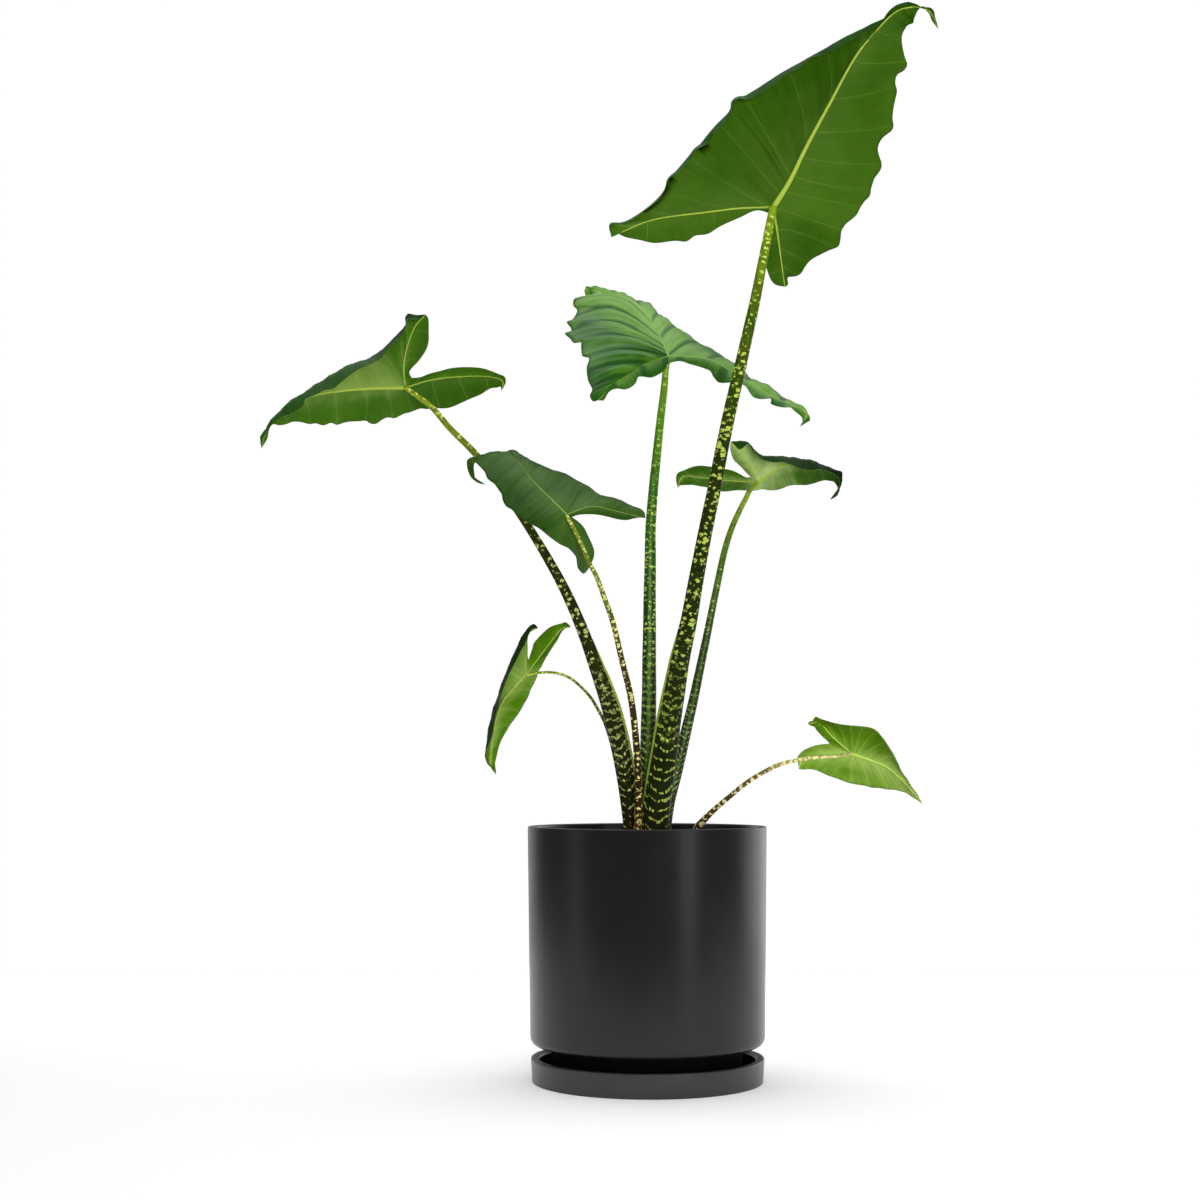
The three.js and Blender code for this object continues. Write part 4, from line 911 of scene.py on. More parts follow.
# Potting mix: damp peat, bark and grit. It is always rough, mottled by fibres of the given size in mm.
def crumb_finish(name, dark, pale, size):
    material, tree, shader = new_material(name, IOR=1.4, Specular_IOR_Level=0.25)
    where = add(tree, "TexCoord").node.outputs["Object"]
    fibre = add(tree, "TexNoise", {"Vector": where, "Scale": per_mm(size), "Detail": 6})
    tone = add(tree, "MapRange", {0: fibre, 1: 0.35, 2: 0.7})
    colour = add(tree, "Mix", {0: tone, 6: linear(dark), 7: linear(pale)}, data_type="RGBA")
    tree.links.new(colour, shader.inputs["Base Color"])
    damp = add(tree, "MapRange", {0: fibre, 3: 0.75, 4: 0.95})
    tree.links.new(damp, shader.inputs["Roughness"])
    bump = add(tree, "Bump", {"Strength": 0.6, "Distance": 0.4 * MM, "Height": fibre})
    tree.links.new(bump, shader.inputs["Normal"])
    return material


# Curves and meshes
def spline(points, places):
    """Points on a smooth curve through the given points, for places from 0 at its start to 1 at its end."""
    knots = np.asarray(points, float)
    knots = np.concatenate([[2 * knots[0] - knots[1]], knots, [2 * knots[-1] - knots[-2]]])
    spans = len(knots) - 3
    along = np.clip(places, 0, 1) * spans
    low = np.minimum(along.astype(int), spans - 1)
    share = (along - low).reshape(-1, *[1] * (knots.ndim - 1))
    before, start, end, after = (knots[low + step] for step in range(4))
    first, middle, last = (
        np.maximum(np.linalg.norm(b - a, axis=-1, keepdims=True), 1e-6) ** 0.5
        for a, b in ((before, start), (start, end), (end, after))
    )
    leave = middle * ((start - before) / first - (end - before) / (first + middle) + (end - start) / middle)
    arrive = middle * ((end - start) / middle - (after - start) / (middle + last) + (after - end) / last)
    square = 3 * (end - start) - 2 * leave - arrive
    cube = 2 * (start - end) + leave + arrive
    return start + share * (leave + share * (square + share * cube))


def along_length(points, shares):
    """Points on the same curve, for shares of its length."""
    places = np.linspace(0, 1, 401)
    steps = np.linalg.norm(np.diff(spline(points, places), axis=0), axis=1)
    lengths = np.concatenate([[0], np.cumsum(steps)])
    return spline(points, np.interp(shares, lengths / lengths[-1], places))


def unit(vectors):
    return vectors / np.maximum(np.linalg.norm(vectors, axis=-1, keepdims=True), 1e-9)


def soften(values, reach):
    """A running mean down the rows, which keeps the first and last rows."""
    kernel = np.hanning(2 * reach + 3)[1:-1]
    kernel /= kernel.sum()
    padded = np.pad(values, ((reach, reach), (0, 0)), mode="reflect", reflect_type="odd")
    return np.stack([np.convolve(column, kernel, mode="valid") for column in padded.T], axis=1)


def uneven(points, size, seed):
    """Smooth noise about 0 at each point, with bumps of the given size."""
    shift = Vector((7.3 * seed, 3.1 * seed, 5.7 * seed))
    return np.array([noise.noise(Vector(point) / size + shift) for point in points])


def welded(points):
    """Joins points that fall together. Gives the points, each old one's new number, and which stay."""
    keys = np.round(points * 200).astype(np.int64)
    _, kept, numbers = np.unique(keys, axis=0, return_index=True, return_inverse=True)
    return points[kept], numbers.reshape(-1), kept


def sheet_faces(grid, flip=False):
    """The four-sided faces between the rows and columns of a grid of point numbers."""
    faces = np.stack([grid[:-1, :-1], grid[1:, :-1], grid[1:, 1:], grid[:-1, 1:]], axis=-1).reshape(-1, 4)
    return faces[:, ::-1] if flip else faces


def without_repeats(face):
    kept = []
    for corner in face:
        if corner not in kept:
            kept.append(corner)
    return kept


def new_piece(name, points, faces, finishes, face_finish=None, fields=None):
    """Makes a smooth mesh from points in millimetres, and drops faces that have fallen to a line."""
    whole = [without_repeats(face) for face in faces.tolist()]
    solid = [i for i, face in enumerate(whole) if len(face) > 2]
    mesh = bpy.data.meshes.new(name)
    mesh.from_pydata((points * MM).tolist(), [], [whole[i] for i in solid])
    for finish in finishes:
        mesh.materials.append(finish)
    if face_finish is not None:
        mesh.polygons.foreach_set("material_index", face_finish[solid])
    mesh.shade_smooth()
    for field, values in (fields or {}).items():
        attribute = mesh.attributes.new(field, "FLOAT_VECTOR", "POINT")
        attribute.data.foreach_set("vector", np.asarray(values, np.float32).ravel())
    piece = bpy.data.objects.new(name, mesh)
    bpy.context.scene.collection.objects.link(piece)
    return piece


# Blades: thin sheets that get thinner still over the last few millimetres to the edge. Crowding is the
# power that draws the rows towards the stalk, and the midrib has so many rows ahead for each one on a
# lobe. Bellies are shares of a row's length, and the fold's share is how far along its curve a row folds.
THICKNESS = 0.6
THIN_EDGE = 3
CROWDING = 1.5
ROWS_AHEAD = 2.8
BELLY = 0.08
SINUS_BELLY = 0.06
SINUS_COLUMNS = 12
FOLD_SHARE = 0.66
FOLD_COLUMNS = 14
# Reaches of the lobe, the joint and the tip for the tints, which are painted light and shade
PAINTED_LIGHT_REACHES = (-0.25, 0.1, 1)

# The ribs under a blade, and the slow swell of the whole sheet
RIB_HALF_WIDTH = 2.7
THINNEST_RIB = 0.35
RIB_HEIGHT = 2.4
RIB_GROOVE = 0.35
SWELL = 0.8
SWELL_SIZE = 28
SWELL_START = 12


def foot_of(reach):
    """Share of the spine's length at which a row starts, below 0 on the lobe's rib."""
    return np.sign(reach) * np.abs(reach) ** CROWDING


def reach_of(foot):
    return math.copysign(abs(foot) ** (1 / CROWDING), foot)


def spine_points(leaf, half, reaches):
    """The lobe's rib below reach 0 and the midrib above it."""
    shares = np.abs(foot_of(reaches))
    rib = along_length([leaf["joint"], *half["rib"]], shares)
    midrib = along_length([leaf["joint"], *leaf["midrib"]], shares)
    return np.where(reaches[:, None] < 0, rib, midrib)


def edge_places(half, reaches):
    """Where each row meets the edge, from 0 at the lobe's tip to 1 at the leaf's tip."""
    marks = [-1, *(reach_of(vein[0]) for vein in half["veins"]), 1]
    places = np.interp(reaches, marks, np.linspace(0, 1, len(marks)))
    return soften(places[:, None], max(2, len(reaches) // (3 * len(marks))))[:, 0]


def along_edge(marks, points, places):
    """Points on the finer of two curves along one edge, for places on the coarser one through marks."""
    shares = np.linspace(0, 1, 401)
    coarse = spline(marks, shares)
    away = np.linalg.norm(np.array(points, float)[:, None] - coarse[None], axis=2)
    found = np.maximum.accumulate(shares[away.argmin(axis=1)])
    found = np.clip(found + np.arange(1, len(points) + 1) * 1e-5, 1e-5, 1 - 1e-5)
    knots = np.linspace(0, 1, len(points) + 2)
    return spline([marks[0], *points, marks[-1]], np.interp(places, [0, *found, 1], knots))


def upper_normals(starts, ends, turn):
    """Directions of the rows' upper side, from the strip between the spine and the edge."""
    run = np.gradient((starts + ends) / 2, axis=0)
    return unit(soften(unit(np.cross(ends - starts, run)) * turn, 6))


def bowed_rows(starts, middles, ends, columns):
    """Rows of points on the parabolas that run from each start through its middle to its end."""
    v = columns.reshape(1, -1, 1)
    rows = (1 - v) * (1 - 2 * v) * starts[:, None] + 4 * v * (1 - v) * middles[:, None]
    return rows + v * (2 * v - 1) * ends[:, None]


def outer_sheet(leaf, half, reaches, columns, turn):
    """Rows from the spine to the edge, which rolls over a fold where the leaf has one."""
    tip = leaf["midrib"][-1]
    lobe_tip = half["rib"][-1]
    places = edge_places(half, reaches)
    spine = spine_points(leaf, half, reaches)
    marks = [lobe_tip, *(vein[1:] for vein in half["veins"]), tip]
    edges = along_edge(marks, half["edge"], places)
    folded = "folds" in half
    folds = along_edge(marks, half["folds"], places) if folded else edges
    normals = upper_normals(spine, folds, turn)
    swing = (2 * math.pi * half["waves"] * places)[:, None]
    ripple = (half["wave_depth"] * np.sqrt(np.sin(math.pi * np.clip(places, 0, 1))))[:, None]
    ends = edges + normals * ripple * np.sin(swing)
    fade = (1 - np.abs(reaches) ** 6)[:, None]
    chord = np.linalg.norm(folds - spine, axis=1, keepdims=True)
    belly = (spine + folds) / 2 + normals * BELLY * fade * chord
    if folded:
        flat = columns[::3]
        flat = FOLD_SHARE * (flat / flat[-1]) ** 1.3
        shares = np.concatenate([flat, np.linspace(FOLD_SHARE + 0.03, 1, FOLD_COLUMNS)])
        rows = spline(np.stack([spine, belly, folds, ends]), shares).transpose(1, 0, 2)
    else:
        rows = bowed_rows(spine, belly, ends, columns)
    rows[0] = lobe_tip
    rows[-1] = tip
    panels = len(half["veins"]) + 1
    return rows, places * panels


def sinus_sheet(leaf, half, reaches, turn):
    """The strip between a lobe's rib and the open sinus beside the stalk."""
    shares = np.abs(foot_of(reaches))
    starts = along_length([leaf["joint"], *half["rib"]], shares)
    ends = along_length([leaf["notch"], *half["sinus"], half["rib"][-1]], shares)
    normals = upper_normals(starts, ends, -turn)
    rise = (SINUS_BELLY * np.sin(math.pi * np.abs(reaches)))[:, None]
    belly = (starts + ends) / 2 + normals * rise * np.linalg.norm(ends - starts, axis=1, keepdims=True)
    return bowed_rows(starts, belly, ends, np.linspace(0, 1, SINUS_COLUMNS))


def sheet_of(rows, reaches, places, bow, painted_light_tints, flip, quilted):
    """A sheet's rows with what its points carry.

    Grid is the vein grid: the place among the side veins, their spacing in mm and the share of the way
    out. Near is the distance from the spine and from the edge in mm, and the reach."""
    steps = np.linalg.norm(np.diff(rows, axis=1), axis=2)
    from_rib = np.concatenate([np.zeros((len(rows), 1)), np.cumsum(steps, axis=1)], axis=1)
    width = from_rib[:, -1:]
    share = from_rib / np.maximum(width, 1e-6)
    across = unit(np.gradient(rows, axis=1))
    down = np.gradient(rows, axis=0) / np.maximum(np.gradient(places), 1e-6)[:, None, None]
    spacing = np.linalg.norm(np.cross(down, across), axis=2)
    lean = bow * np.clip((reaches + 0.1) / 0.4, 0, 1)[:, None]
    bowed = places[:, None] + lean * np.sin(math.pi * share)
    reach = np.repeat(reaches[:, None], rows.shape[1], axis=1)
    return {
        "rows": rows,
        "grid": np.stack([bowed, np.clip(spacing, 4, 40), share], axis=-1),
        "near": np.stack([from_rib, width - from_rib, reach], axis=-1),
        "painted_light_tint": np.interp(reach, PAINTED_LIGHT_REACHES, painted_light_tints),
        "quilted": np.full(reach.shape, float(quilted)),
        "flip": flip,
    }


def leaf_sheets(leaf):
    """A blade's four sheets: on each side, one out to the edge and one along the sinus."""
    lobe_rows = leaf["fineness"]
    blade_rows = int(lobe_rows * ROWS_AHEAD)
    reaches = np.concatenate([np.linspace(-1, 0, lobe_rows + 1), np.linspace(0, 1, blade_rows + 1)[1:]])
    lobe = reaches[reaches <= 0]
    columns = np.linspace(0, 1, leaf["columns"]) ** 1.6
    sheets = []
    for half, turn, right in ((leaf["left"], -1, False), (leaf["right"], 1, True)):
        rows, places = outer_sheet(leaf, half, reaches, columns, turn)
        sheets.append(sheet_of(rows, reaches, places, half["bow"], half["painted_light_tints"], right, True))
        rows = sinus_sheet(leaf, half, lobe, turn)
        sheets.append(sheet_of(rows, lobe, lobe * 3 + 0.5, 0, half["painted_light_tints"], not right, False))
    return sheets


def blade(name, leaf, upper, under):
    """A leaf's blade: both faces of one thin sheet, quilted between its veins, with ribs underneath."""
    sheets = leaf_sheets(leaf)
    points, numbers, kept = welded(np.concatenate([sheet["rows"].reshape(-1, 3) for sheet in sheets]))
    faces = []
    start = 0
    for sheet in sheets:
        shape = sheet["painted_light_tint"].shape
        size = sheet["painted_light_tint"].size
        faces.append(sheet_faces(numbers[start:start + size].reshape(shape), sheet["flip"]))
        start += size
    faces = np.concatenate(faces)
    grids, nears = (
        np.concatenate([sheet[field].reshape(-1, 3) for sheet in sheets])[kept] for field in ("grid", "near")
    )
    painted_light_tints, quilted = (
        np.concatenate([sheet[field].ravel() for sheet in sheets])[kept] for field in ("painted_light_tint", "quilted")
    )
    from_rib, from_edge, reach = nears.T
    place, _, share = grids.T

    # The quilting between the veins, and the swell
    panel = np.sin(math.pi * place) ** 2 + 0.35 * np.sin(3 * math.pi * place) ** 2
    panel = panel * np.sin(math.pi * share ** 0.8) * quilted
    swell = SWELL * uneven(points, SWELL_SIZE, leaf["fineness"]) * np.clip(from_rib / SWELL_START, 0, 1)
    points = points + point_normals(points, faces) * (leaf["quilt"] * panel + swell)[:, None]
    normals = point_normals(points, faces)

    # The ribs, stout at the stalk and fine at the tips
    tipward = np.abs(reach)
    stout = np.where(reach > 0, (1 - tipward) ** 1.1, 0.38 * (1 - tipward) ** 1.5)
    stout = np.maximum(stout, np.clip(1 - tipward * 12, 0, 1))
    half_width = RIB_HALF_WIDTH * leaf["rib_scale"] * stout + THINNEST_RIB
    crest = np.cos(np.clip(from_rib / half_width, 0, 1) * math.pi / 2) ** 2
    ridge = RIB_HEIGHT * leaf["rib_scale"] * stout * crest
    body = THICKNESS / 2 * (0.4 + 0.6 * np.clip(from_edge / THIN_EDGE, 0, 1))
    groove = RIB_GROOVE * leaf["rib_scale"] * crest * (1 - tipward)
    top = points + normals * (body - groove)[:, None]
    lower = points - normals * (body + ridge)[:, None]

    count = len(points)
    rim = open_edges(faces)
    rim_faces = np.stack([rim[:, 1], rim[:, 0], rim[:, 0] + count, rim[:, 1] + count], axis=1)
    all_faces = np.concatenate([faces, faces[:, ::-1] + count, rim_faces])
    face_finish = np.concatenate([np.zeros(len(faces), int), np.ones(len(faces) + len(rim_faces), int)])
    upper_near = np.stack([from_rib, from_edge, 0.3 * half_width - 0.2], axis=1)
    under_near = np.stack([from_rib, from_edge, 0.8 * half_width - 0.2], axis=1)
    fields = {
        "vein_grid": np.tile(grids, (2, 1)),
        "leaf_mm": np.concatenate([upper_near, under_near]),
        "leaf_painted_light_tint": np.tile(painted_light_tints[:, None], (2, 3)),
    }
    return new_piece(name, np.concatenate([top, lower]), all_faces, [upper, under], face_finish, fields)


def point_normals(points, faces):
    a, b, c, d = (points[faces[:, i]] for i in range(4))
    across = np.cross(c - a, d - b)
    normals = np.zeros_like(points)
    for i in range(4):
        np.add.at(normals, faces[:, i], across)
    return unit(normals)


def open_edges(faces):
    """The edges that only one face uses, in that face's direction."""
    pairs = np.concatenate([np.stack([faces[:, i], faces[:, (i + 1) % 4]], axis=1) for i in range(4)])
    pairs = pairs[pairs[:, 0] != pairs[:, 1]]
    size = pairs.max() + 1
    codes = pairs[:, 0] * size + pairs[:, 1]
    back = pairs[:, 1] * size + pairs[:, 0]
    return pairs[~np.isin(codes, back)]


# Stalks: rings of points a step apart, from a root in the soil up. The rows of flecks are bowed by the
# arch's rise at the soil, and a wing this wide has its colour in full.
STALK_ROOT = 20
RING_STEP = 1.4
RING_SIDES = 36
WING_SHARPNESS = 8
WING_SHOWS = 1.5
ARCH_RISE = 9


def at_points(*values):
    """Values given by ring or by side, spread to every point of a stalk."""
    return np.stack(np.broadcast_arrays(*values), axis=-1)


def stalk(name, route, wing_side, skin):
    """A stalk swept along its route, with the sheath's wing, that runs on into the blade's midrib."""
    knots = np.array([knot[:3] for knot in route], float)
    knots = np.concatenate([[knots[0] - [0, 0, STALK_ROOT]], knots])
    radii = [route[0][3], *(knot[3] for knot in route)]
    wings = [0, *(knot[4] if len(knot) > 4 else 0 for knot in route)]
    length = np.linalg.norm(np.diff(knots, axis=0), axis=1).sum()
    places = np.linspace(0, 1, int(length / RING_STEP) + 1)
    spans = np.linspace(0, 1, len(knots))
    radius = np.interp(places, spans, radii)[:, None]
    width = np.interp(places, spans, wings)[:, None]
    centres = spline(knots, places)
    tangents = unit(np.gradient(centres, axis=0))
    across = unit(np.cross([0, 1, 0], tangents))
    behind = np.cross(tangents, across)
    angles = np.linspace(0, 2 * math.pi, RING_SIDES, endpoint=False)
    flap = np.maximum(0, np.cos(angles - wing_side)) ** WING_SHARPNESS
    rise = np.concatenate([[0], np.cumsum(np.linalg.norm(np.diff(centres, axis=0), axis=1))])
    rise = rise[:, None] - STALK_ROOT
    reach = radius + width * flap
    reach = reach * (1 + 0.012 * np.sin(11 * angles) + 0.01 * np.sin(rise / 9 + angles))
    ring = across[:, None] * np.cos(angles)[:, None] + behind[:, None] * np.sin(angles)[:, None]
    points = centres[:, None] + ring * reach[..., None]

    count = points.shape[0] * RING_SIDES
    grid = np.arange(count).reshape(-1, RING_SIDES)
    grid = np.concatenate([grid, grid[:, :1]], axis=1)
    base = [[count, grid[0, i], grid[0, i + 1], count] for i in range(RING_SIDES)]
    top = [[count + 1, grid[-1, i + 1], grid[-1, i], count + 1] for i in range(RING_SIDES)]
    ends = np.stack([centres[0], centres[-1] + tangents[-1] * radius[-1] * 0.5])

    flat = at_points(radius * np.cos(angles), radius * np.sin(angles), rise)
    arch = ARCH_RISE * np.abs(np.cos(angles)) ** 1.3 * np.clip(1 - rise / ARCH_TOP, 0, 1)
    shares = np.clip(rise / rise[-1], 0, 1)
    zone = at_points(shares, flap * np.clip(width / WING_SHOWS, 0, 1), rise - arch)
    aside = np.tile(np.abs(np.cos(angles))[:, None], (len(points), 3))
    fields = {
        "stalk_mm": np.concatenate([flat.reshape(-1, 3), [flat[0, 0], flat[-1, 0]]]),
        "stalk_zone": np.concatenate([zone.reshape(-1, 3), [zone[0, 0], zone[-1, 0]]]),
        "stalk_aside": np.concatenate([aside, np.ones((2, 3))]),
    }
    points = np.concatenate([points.reshape(-1, 3), ends])
    faces = np.concatenate([sheet_faces(grid, flip=True), base, top])
    return new_piece(name, points, faces, [skin], fields=fields)


# Pot, saucer and soil, turned about the pot's axis from corners of radius, height and rounding
def rounded(corners, steps=8):
    """An outline through the corners, each turned with its own rounding."""
    outline = []
    for i, (radius, height, rounding) in enumerate(corners):
        corner = np.array([radius, height])
        if rounding == 0 or i in (0, len(corners) - 1):
            outline.append(corner)
            continue
        back = corner + unit(np.array(corners[i - 1][:2]) - corner) * rounding
        on = corner + unit(np.array(corners[i + 1][:2]) - corner) * rounding
        for share in np.linspace(0, 1, steps):
            outline.append((1 - share) ** 2 * back + 2 * share * (1 - share) * corner + share ** 2 * on)
    return np.array(outline)


def turned(name, outline, finishes, sides=192, shape=None, second=None):
    """Turns an outline about Z into a closed body. Shape may move its points.

    Second says, of a face's radius and height, whether it has the second finish."""
    angles = np.linspace(0, 2 * math.pi, sides, endpoint=False)
    x = outline[:, :1] * np.cos(angles)
    y = outline[:, :1] * np.sin(angles)
    z = np.repeat(outline[:, 1:], sides, axis=1)
    points = np.stack([x, y, z], axis=-1).reshape(-1, 3)
    if shape:
        points = shape(points)
    points, numbers, _ = welded(points)
    grid = numbers.reshape(len(outline), sides)
    grid = np.concatenate([grid, grid[:, :1]], axis=1)
    faces = sheet_faces(grid)
    chosen = None
    if second:
        middle = points[faces].mean(axis=1)
        chosen = second(np.hypot(middle[:, 0], middle[:, 1]), middle[:, 2]).astype(int)
    return new_piece(name, points, faces, finishes, chosen)


# The pot's foot stands a seat gap over the saucer's floor, and the soil keeps the same gap to the pot.
SEAT_GAP = 0.3
SAUCER_FLOOR = 7
SAUCER_HEIGHT = 19.9
SAUCER = [
    (0, 0, 0), (97, 0, 0.7), (98.2, SAUCER_HEIGHT, 1.5), (91.2, SAUCER_HEIGHT, 2.5),
    (88.7, SAUCER_FLOOR, 2.5), (0, SAUCER_FLOOR, 0),
]
FOOT_BOTTOM = SAUCER_FLOOR + SEAT_GAP
POT_UNDERSIDE = 29.9
POT_FLOOR = 37.9
RIM_HEIGHT = 212.7
POT = [
    (8, POT_FLOOR, 0), (8, POT_UNDERSIDE, 0.8), (72, POT_UNDERSIDE, 0.8), (72, FOOT_BOTTOM, 0.8),
    (80, FOOT_BOTTOM, 0.8), (80, POT_UNDERSIDE, 0.8), (98.7, POT_UNDERSIDE, 9), (101.5, RIM_HEIGHT, 1.6),
    (94, RIM_HEIGHT, 2), (91.2, POT_FLOOR, 6), (8, POT_FLOOR, 0),
]
SHADE_EDGE_RADIUS = 92
SAUCER_INSIDE = 90.8
SOIL_LEVEL = 202.5
SOIL_BOTTOM = POT_FLOOR + SEAT_GAP
SOIL_RADIUS = 93.2
SOIL = [(0, SOIL_BOTTOM, 0), (90, SOIL_BOTTOM, 6), (SOIL_RADIUS, SOIL_LEVEL, 0), (0, SOIL_LEVEL, 0)]

# The soil's top: a low mound round the stalks, flat by the pot's wall, with clods by height, size and seed
MOUND_RISE = 2
MOUND_RADIUS = 60
FLAT_EDGE = 4
CLODS = ((1.6, 9, 2), (0.9, 3.2, 3))


def under_pot(away, height):
    """Where the pot gets the black of painted shade: its underside and foot."""
    return (height < POT_UNDERSIDE + 0.6) & (away < SHADE_EDGE_RADIUS)


def in_saucer(away, height):
    """The saucer's floor and the inside of its wall, which get the black of painted shade."""
    return (away < SAUCER_INSIDE) & (height > 1)


def even_steps(outline, step):
    """Adds points to an outline so that none are further apart than the step."""
    points = [outline[0]]
    for a, b in zip(outline[:-1], outline[1:]):
        count = max(1, math.ceil(np.linalg.norm(b - a) / step))
        points.extend(a + (b - a) * share for share in np.linspace(0, 1, count + 1)[1:])
    return np.array(points)


def soil_shape(points):
    """Lifts the top of the soil into clods and a low mound round the stalks."""
    top = points[:, 2] > SOIL_LEVEL - 1
    away = np.linalg.norm(points[:, :2], axis=1)
    lift = MOUND_RISE * np.clip(1 - (away / MOUND_RADIUS) ** 2, 0, 1)
    for height, size, seed in CLODS:
        lift = lift + height * uneven(points, size, seed)
    points[:, 2] += np.where(top, lift * np.clip((SOIL_RADIUS - away) / FLAT_EDGE, 0, 1), 0)
    return points


def crumbs(name, finish, count, sizes, spread, seed):
    """Loose crumbs lying on the soil, each a rough lump turned its own way."""
    dice = random.Random(seed)
    ball = round_ball()
    points = []
    faces = []
    for number in range(count):
        angle = dice.uniform(0, 2 * math.pi)
        away = spread * math.sqrt(dice.random())
        size = dice.uniform(*sizes)
        turn = Matrix.Rotation(dice.uniform(0, 2 * math.pi), 3, Vector((dice.random(), dice.random(), 1)))
        squash = np.array([1, dice.uniform(0.5, 0.9), dice.uniform(0.35, 0.7)])
        lump = ball[0] * (1 + 0.35 * uneven(ball[0], 0.8, number % 40))[:, None] * squash * size
        lump = lump @ np.array(turn).T
        lump += [away * math.cos(angle), away * math.sin(angle), SOIL_LEVEL + 1.5 + 0.15 * size]
        faces.append(ball[1] + len(points) * len(ball[0]))
        points.append(lump)
    return new_piece(name, np.concatenate(points), np.concatenate(faces), [finish])


def round_ball():
    """A round ball of three-sided faces, as arrays."""
    mesh = bpy.data.meshes.new("ball")
    form = bmesh.new()
    bmesh.ops.create_icosphere(form, subdivisions=2, radius=0.5)
    form.to_mesh(mesh)
    form.free()
    points = np.array([vertex.co for vertex in mesh.vertices])
    faces = np.array([list(face.vertices) for face in mesh.polygons])
    bpy.data.meshes.remove(mesh)
    return points, faces


def place(piece, slot, *nodes):
    """Ties a piece to the pot's body and hides the solids that it stands for. The slot is not used."""
    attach(piece, "root")
    if nodes:
        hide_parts(*nodes)
    return piece


# Assembly
for leaf_name, leaf in LEAVES.items():
    finish = LEAF_FINISH[leaf_name]
    coat = {**UPPER_SIDE, **finish["coat"]}
    upper = leaf_skin(f"{leaf_name}_leaf_upper", finish["upper"], raised=-0.8, **coat)
    under = leaf_skin(f"{leaf_name}_leaf_under", finish["under"], raised=1.2, **UNDER_SIDE)
    place(blade(f"blade_{leaf_name}", leaf, upper, under), "leaf_green", f"leaf_{leaf_name}")
    stem = STALKS[leaf_name]
    skin = stalk_skin(f"{leaf_name}_stalk", **STALK_FINISH[leaf_name])
    piece = stalk(f"petiole_{leaf_name}", stem["route"], stem.get("wing_side", 0), skin)
    place(piece, "mottled_stalk", f"stalk_{leaf_name}")

glaze = satin_glaze("satin_black_glaze", "#0c0b0d", "#131215", 0.44, 0.26)
# The saucer has the pot's glaze, painted lighter: painted light from the bright floor round it
lighter_saucer_glaze = satin_glaze("satin_black_glaze_painted_lighter", "#232226", "#2a292d", 0.5, 0.3)
# Painted shade: a near black, dull finish under the pot and inside the saucer
painted_shade_black = satin_glaze("black_painted_shade", "#050505", "#090909", 0.02, 0.8)

glazed_pot = turned("glazed_pot", rounded(POT), [glaze, painted_shade_black], second=under_pot)
place(glazed_pot, "pot_glaze", "pot")
glazed_saucer = turned("glazed_saucer", rounded(SAUCER), [lighter_saucer_glaze, painted_shade_black], second=in_saucer)
place(glazed_saucer, "pot_glaze", "saucer")
peat = crumb_finish("damp_peat", "#17100b", "#3a2a1e", 4)
soil_outline = even_steps(rounded(SOIL), 2.5)
place(turned("potting_soil", soil_outline, [peat], shape=soil_shape), "potting_mix", "soil")
bark = crumb_finish("bark_crumbs", "#2a1b11", "#6b4a30", 2)
place(crumbs("bark_chips", bark, count=420, sizes=(2.5, 7), spread=86, seed=4), "potting_mix")
grit = crumb_finish("pale_grit", "#8d7c63", "#cdbf9f", 2)
place(crumbs("pale_crumbs", grit, count=60, sizes=(1.5, 3.5), spread=84, seed=9), "potting_mix")

# Studio: a pale floor in front of a white backdrop. Light comes from above and behind, from both sides,
# and low from the front.
scene = bpy.context.scene
scene.view_settings.view_transform = "Standard"
WHITE = linear("#ffffff")
BLACK = linear("#000000")

# Soft glows of the air round the plant: direction, the cosine from it where the glow starts, and strength
AIR_LIGHT = 0.14
RIGHT_BACK_GLOW = ((0.7, 0.7, 0), 0.73, 1.4)
OTHER_GLOWS = (
    ((-0.4, 0.92, 0), 0.84, 0.6),
    ((0, 0, 1), 0.45, 1.2),
    ((0, 0, -1), 0.4, 0.5),
)
world = bpy.data.worlds.new("studio_air")
world.use_nodes = True
air = world.node_tree
heading = add(air, "TexCoord")


def glow_towards(direction, start, strength, base=0):
    """A soft glow round one direction, over a base that is the same all round."""
    near = add(air, "VectorMath", {0: heading, 1: Vector(direction).normalized()}, operation="DOT_PRODUCT")
    return add(air, "MapRange", {0: near, 1: start, 3: base, 4: base + strength}, **SMOOTH)


fill = glow_towards(*RIGHT_BACK_GLOW, base=AIR_LIGHT)
for glow in OTHER_GLOWS:
    fill = add(air, "Math", {0: fill, 1: glow_towards(*glow)}, operation="ADD")
air.links.new(fill, air.nodes["Background"].inputs["Strength"])
air.nodes["Background"].inputs["Color"].default_value = WHITE
scene.world = world

FLOOR_CORNERS = [(-1100, -470), (1100, -470), (1100, 900), (-1100, 900)]
FLOOR_THICKNESS = 2
floor_finish, _, floor_shader = new_material("pale_paper", Roughness=0.9, Specular_IOR_Level=0)
floor_shader.inputs["Base Color"].default_value = linear("#d0d0d0")
floor_points = np.array([(x, y, z) for z in (0, -FLOOR_THICKNESS) for x, y in FLOOR_CORNERS], float)
floor_faces = [[0, 1, 2, 3], [7, 6, 5, 4], [4, 5, 1, 0], [5, 6, 2, 1], [6, 7, 3, 2], [7, 4, 0, 3]]
floor = new_piece("floor", floor_points, np.array(floor_faces), [floor_finish])

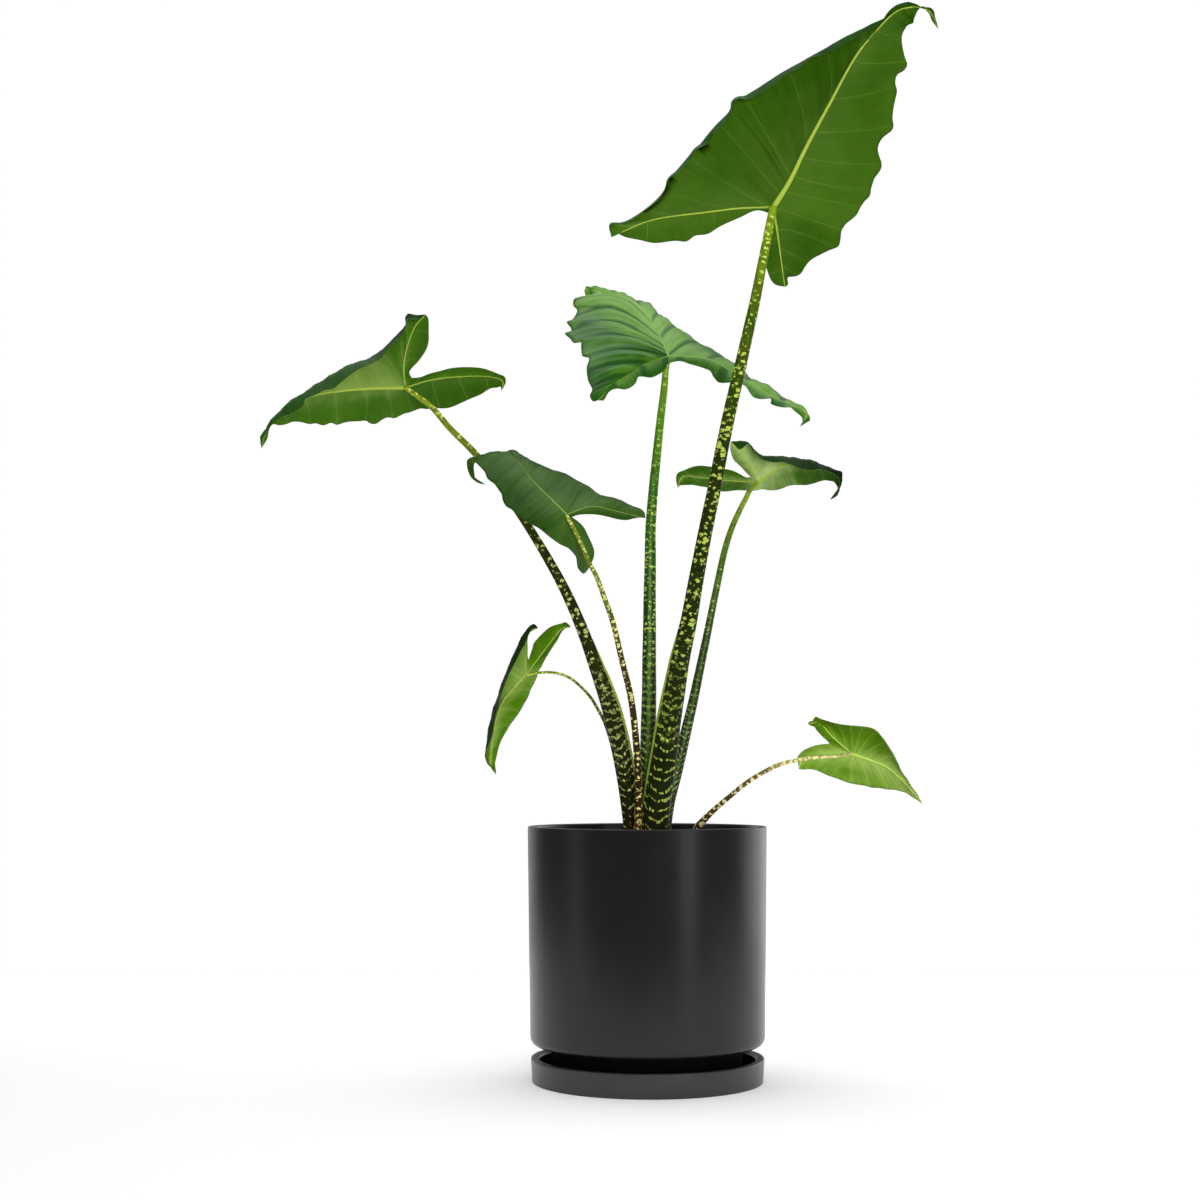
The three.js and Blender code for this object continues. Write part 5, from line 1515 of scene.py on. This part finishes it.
# The backdrop is seen by the camera alone, so that it stays white behind a plant lit from above.
BACKDROP_RADIUS = 9
backdrop_mesh = bpy.data.meshes.new("backdrop")
backdrop_form = bmesh.new()
bmesh.ops.create_icosphere(backdrop_form, subdivisions=4, radius=BACKDROP_RADIUS)
backdrop_form.to_mesh(backdrop_mesh)
backdrop_form.free()
backdrop_finish, _, backdrop_shader = new_material("white_backdrop", Emission_Strength=1)
backdrop_shader.inputs["Emission Color"].default_value = WHITE
backdrop_shader.inputs["Base Color"].default_value = BLACK
backdrop_mesh.materials.append(backdrop_finish)
backdrop = bpy.data.objects.new("backdrop", backdrop_mesh)
backdrop.visible_diffuse = False
backdrop.visible_glossy = False
backdrop.visible_shadow = False
scene.collection.objects.link(backdrop)

# Lamps: watts, width and height, place, target, and whether they show in gloss. The strips draw the two
# long reflections on the pot, and the fills only light what faces the camera and the floor on the left.
LAMPS = {
    "right_strip": (3.8, (0.45, 1.4), (1.1, -1.45, 0.6), (0, 0, 0.35), True),
    "left_strip": (1, (0.5, 1.4), (-1.6, -0.55, 0.6), (0, 0, 0.35), True),
    "front_fill": (82, (1, 1), (0.6, -3.2, 0.16), (0, 0, 0.45), False),
    "left_fill": (2.4, (0.6, 0.6), (-1.3, -0.9, 0.5), (-0.3, -0.2, 0), False),
}
SKY_STRENGTH = 3.75
SKY_ANGLE = 90
SKY_TILT = (-35, -1, 0)


def soft_lamp(name, watts, size, location, target, in_gloss):
    """A rectangular soft lamp that faces its target."""
    lamp = bpy.data.lights.new(name, "AREA")
    lamp.energy = watts
    lamp.shape = "RECTANGLE"
    lamp.size, lamp.size_y = size
    stand = bpy.data.objects.new(name, lamp)
    stand.location = location
    stand.rotation_euler = (Vector(target) - Vector(location)).to_track_quat("-Z", "Y").to_euler()
    stand.visible_glossy = in_gloss
    scene.collection.objects.link(stand)


for lamp_name, settings in LAMPS.items():
    soft_lamp(lamp_name, *settings)

sky = bpy.data.lights.new("overhead_diffuser", "SUN")
sky.energy = SKY_STRENGTH
sky.angle = math.radians(SKY_ANGLE)
sky_stand = bpy.data.objects.new("overhead_diffuser", sky)
sky_stand.visible_glossy = False
sky_stand.rotation_euler = [math.radians(angle) for angle in SKY_TILT]
scene.collection.objects.link(sky_stand)

# The camera stands low in front, as for the photograph, and looks up by 5 degrees.
camera_data = bpy.data.cameras.new("photo_camera")
camera_data.sensor_width = 36
camera_data.lens = 58.4
camera = bpy.data.objects.new("photo_camera", camera_data)
camera.location = (-0.040, -1.667, 0.260)
camera.rotation_euler = (math.radians(95), 0, 0)
scene.collection.objects.link(camera)
scene.camera = camera
